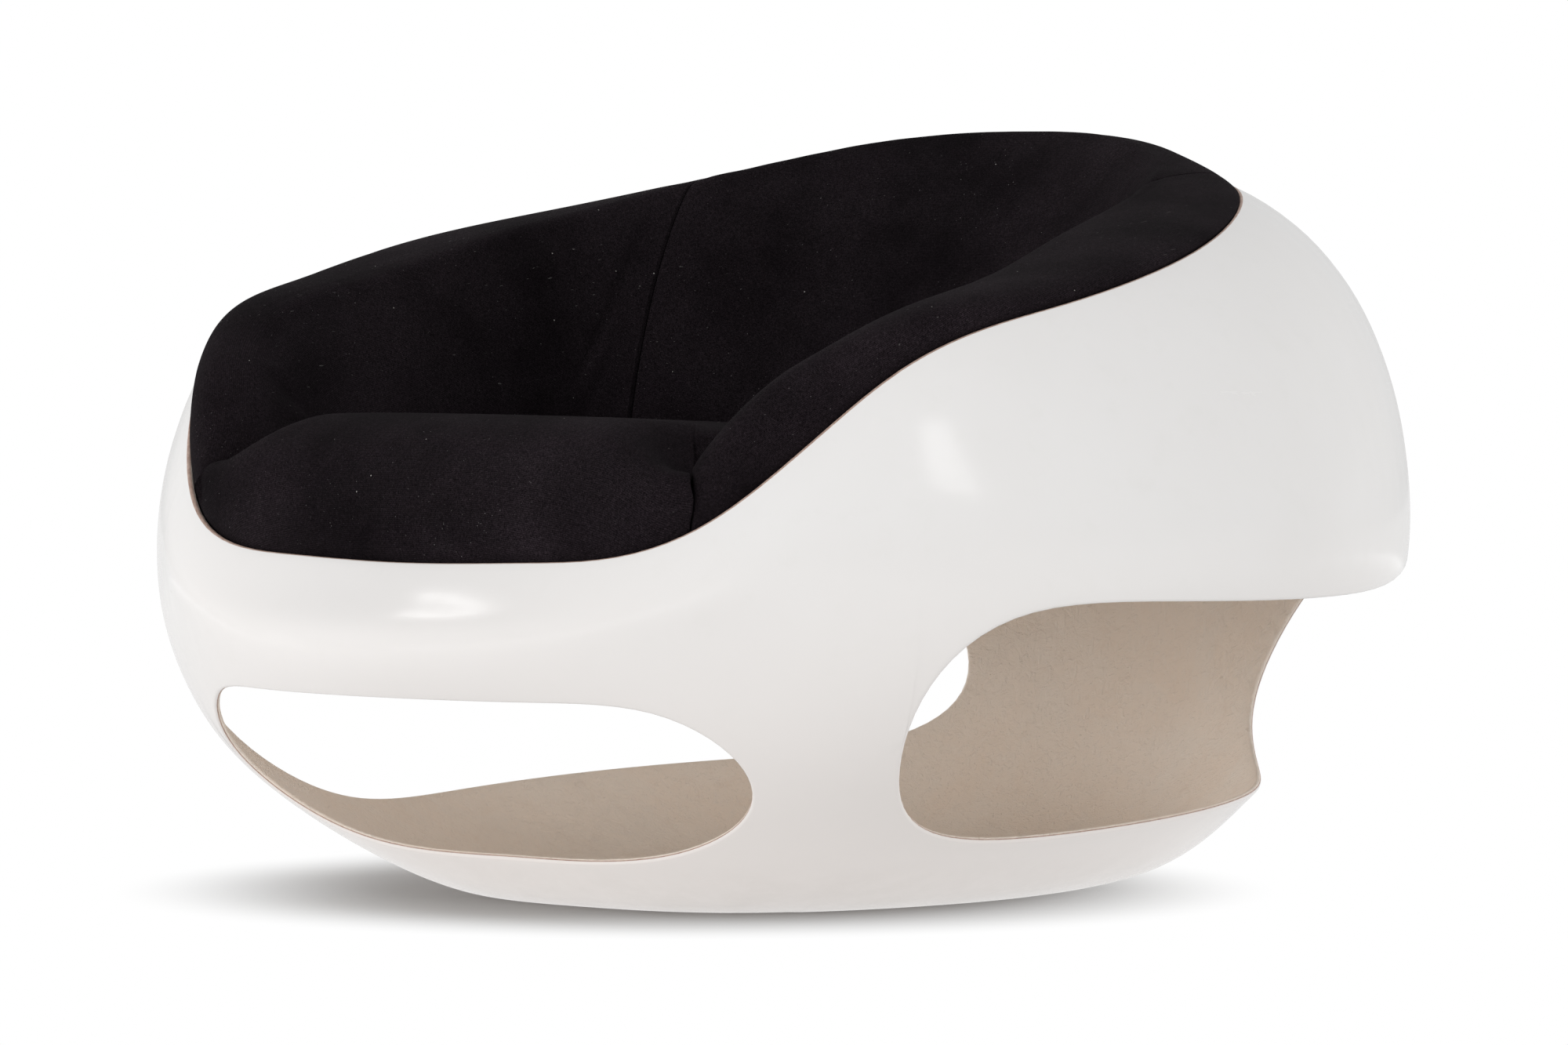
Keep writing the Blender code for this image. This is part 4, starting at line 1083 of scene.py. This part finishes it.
def wool_look():
    """Black ribbed wool with a soft nap and scattered pale lint."""
    look = surface("black_wool_cloth")
    where = look.place()
    weave = woven(look, where)
    fuzz = look.noise(where, 1050.0, 2.0, 0.8)
    tufts = look.span(look.noise(where, 430.0, 2.0, 0.6), 0.3, 0.7, 0.45, 1.0)
    grain = look.times(look.span(fuzz, 0.32, 0.68, 0.05, 1.0), tufts)
    tone = look.times(look.span(weave, 0.0, 1.0, 0.55, 1.0), grain)
    worn = look.span(look.noise(where, 7.0, 4.0, 0.6), 0.3, 0.75, 0.25, 1.0)
    colour = look.mix(look.times(tone, worn), WOOL_DARK, WOOL_LIGHT)
    lint = look.spots(where, 75.0, 0.03, 0.055, 0.83, 0.85)
    colour = look.mix(look.times(lint, 0.55), colour, (0.55, 0.53, 0.50))
    specks = look.times(look.spots(where, 270.0, 0.06, 0.14, 0.90, 0.92),
                        look.span(look.noise(where, 5.0, 2.0), 0.42, 0.62))
    colour = look.mix(look.times(specks, 0.35), colour, (0.42, 0.40, 0.40))
    hairs = look.streaks(where, (520.0, 60.0, 520.0), 1.0, 0.5)
    hair = look.times(look.span(hairs, 0.74, 0.80), look.span(look.noise(where, 9.0), 0.45, 0.6))
    colour = look.mix(look.times(hair, 0.25), colour, (0.30, 0.29, 0.28))
    normal = look.bump(look.noise(where, 14.0, 2.0, 0.5), 0.002, strength=0.6)
    normal = look.bump(weave, 0.0003, normal, 0.5)
    normal = look.bump(fuzz, 0.0005, normal, 0.7)
    return look.finish(Base_Color=colour, Roughness=look.span(fuzz, 0.0, 1.0, 0.82, 1.0), Normal=normal,
                       Sheen_Weight=0.004, Sheen_Roughness=0.5, Specular_IOR_Level=0.03)


def timber_look():
    """Plain softwood wedges with streaked grain."""
    look = surface("timber")
    grain = look.streaks(look.place(), (18.0, 18.0, 150.0), 5.0, 0.6, 0.6)
    colour = look.mix(look.span(grain, 0.3, 0.7), (0.46, 0.30, 0.17), (0.62, 0.45, 0.28))
    return look.finish(Base_Color=colour, Roughness=look.span(grain, 0.0, 1.0, 0.55, 0.75),
                       Normal=look.bump(grain, 0.0005))


def build_floor():
    """White floor without an end, which lights the chair from below and shades only near its base."""
    look = surface("floor")
    where = look.place()
    colour = look.mix(look.span(look.noise(where, 1.5, 2.0), 0.3, 0.7), *FLOOR_GREYS)
    rays = look.node("LightPath").outputs
    away = look.math("DISTANCE", where, FLOOR_SHADE_MIDDLE, "VectorMath")
    fade = look.span(away, *FLOOR_FADE)
    fade.node.interpolation_type = "SMOOTHSTEP"
    unseen = look.math("SUBTRACT", 1.0, rays["Is Camera Ray"])
    look.finish(Base_Color=colour, Roughness=0.9, Specular_IOR_Level=0.0, Emission_Color=WHITE,
                Emission_Strength=look.times(unseen, look.span(away, *FLOOR_BOUNCE)))
    share = look.math("MAXIMUM", look.times(rays["Is Camera Ray"], fade),
                      look.times(rays["Is Glossy Ray"], FLOOR_IN_GLOSS))
    both = look.node("MixShader", Fac=share)
    look.put(both.inputs[1], look.nodes["Principled BSDF"].outputs[0])
    look.put(both.inputs[2], look.node("Emission", Color=WHITE, Strength=1.0).outputs[0])
    look.put(look.nodes["Material Output"].inputs["Surface"], both.outputs[0])
    size = FLOOR_HALF_SIZE
    mesh = Mesh()
    mesh.face(mesh.add(((-size, -size, 0), (size, -size, 0), (size, size, 0), (-size, size, 0))))
    mesh.make("floor", (look.owner,), merge=0)


def build_world():
    """White backdrop for the camera, at a lower level as light and in the gloss."""
    world = bpy.data.worlds.new("studio")
    bpy.context.scene.world = world
    look = Look(world)
    rays = look.node("LightPath").outputs
    seen = look.math("MAXIMUM", rays["Is Camera Ray"], look.times(rays["Is Glossy Ray"], SKY_IN_GLOSS))
    look.fill(look.nodes["Background"], Color=WHITE, Strength=look.span(seen, 0.0, 1.0, WORLD_LEVEL))


def aimed(name, data, location, target):
    """A new lamp or camera at a place, turned to look at a target."""
    item = bpy.data.objects.new(name, data)
    item.location = location
    item.rotation_euler = (Vector(target) - item.location).to_track_quat("-Z", "Y").to_euler()
    bpy.context.scene.collection.objects.link(item)
    return item


def build_lights():
    """Soft lamps, placed by compass angle round the chair as the photograph's light falls."""
    for name, turn, distance, height, width, tall, power, in_gloss in LAMPS:
        data = bpy.data.lights.new(name, "AREA")
        data.shape = "RECTANGLE"
        data.size = width
        data.size_y = tall
        data.energy = power
        middle = LAMP_AIM_HIGH if height > LOW_LAMP_LIMIT else LAMP_AIM_LOW
        item = aimed(name, data, place(turn, distance, height).tolist(), (0.0, 0.0, middle))
        item.visible_camera = False
        item.visible_glossy = in_gloss
        if name == "strip":
            item.rotation_euler.rotate_axis("Z", math.radians(STRIP_TILT))


def build_camera():
    data = bpy.data.cameras.new("camera")
    data.lens = CAMERA_LENS
    data.sensor_width = 36.0
    data.clip_end = 60.0
    rise = math.radians(CAMERA_RISE)
    target = Vector(place(CAMERA_TURN + 90, CAMERA_AIM_ACROSS, CAMERA_AIM_HEIGHT))
    way = Vector(place(CAMERA_TURN, math.cos(rise), math.sin(rise)))
    bpy.context.scene.camera = aimed("camera", data, target + way * CAMERA_DISTANCE, target)


def main():
    """Put the whole scene together."""
    laminate = laminate_look()
    timber = timber_look()
    dress(build_shell((gelcoat_look(), laminate, raw_edge_look())), "white_gelcoat", "outer_shell")
    dress(build_pan((laminate,)), "raw_laminate", "seat_pan")
    for name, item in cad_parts.items():
        if name.endswith("_wedge"):
            item.data.materials.clear()
            item.data.materials.append(timber)
    build_pads(wool_look())
    build_floor()
    build_world()
    build_lights()
    build_camera()
    bpy.context.scene.view_settings.view_transform = "Standard"


def dress(item, slot, *nodes):
    """A piece of the one body that stands for CAD nodes and hides them; the slot is not used."""
    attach(item, "root")
    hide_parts(*nodes)


FIRST_ANGLE = SEAM_ANGLE - SECTION_TABLE_MARGIN
SECTION_ANGLES = np.arange(FIRST_ANGLE, 360.0 - FIRST_ANGLE, SECTION_TABLE_STEP)
SECTIONS = (SECTION_ANGLES, *pad_sections(SECTION_ANGLES))
main()
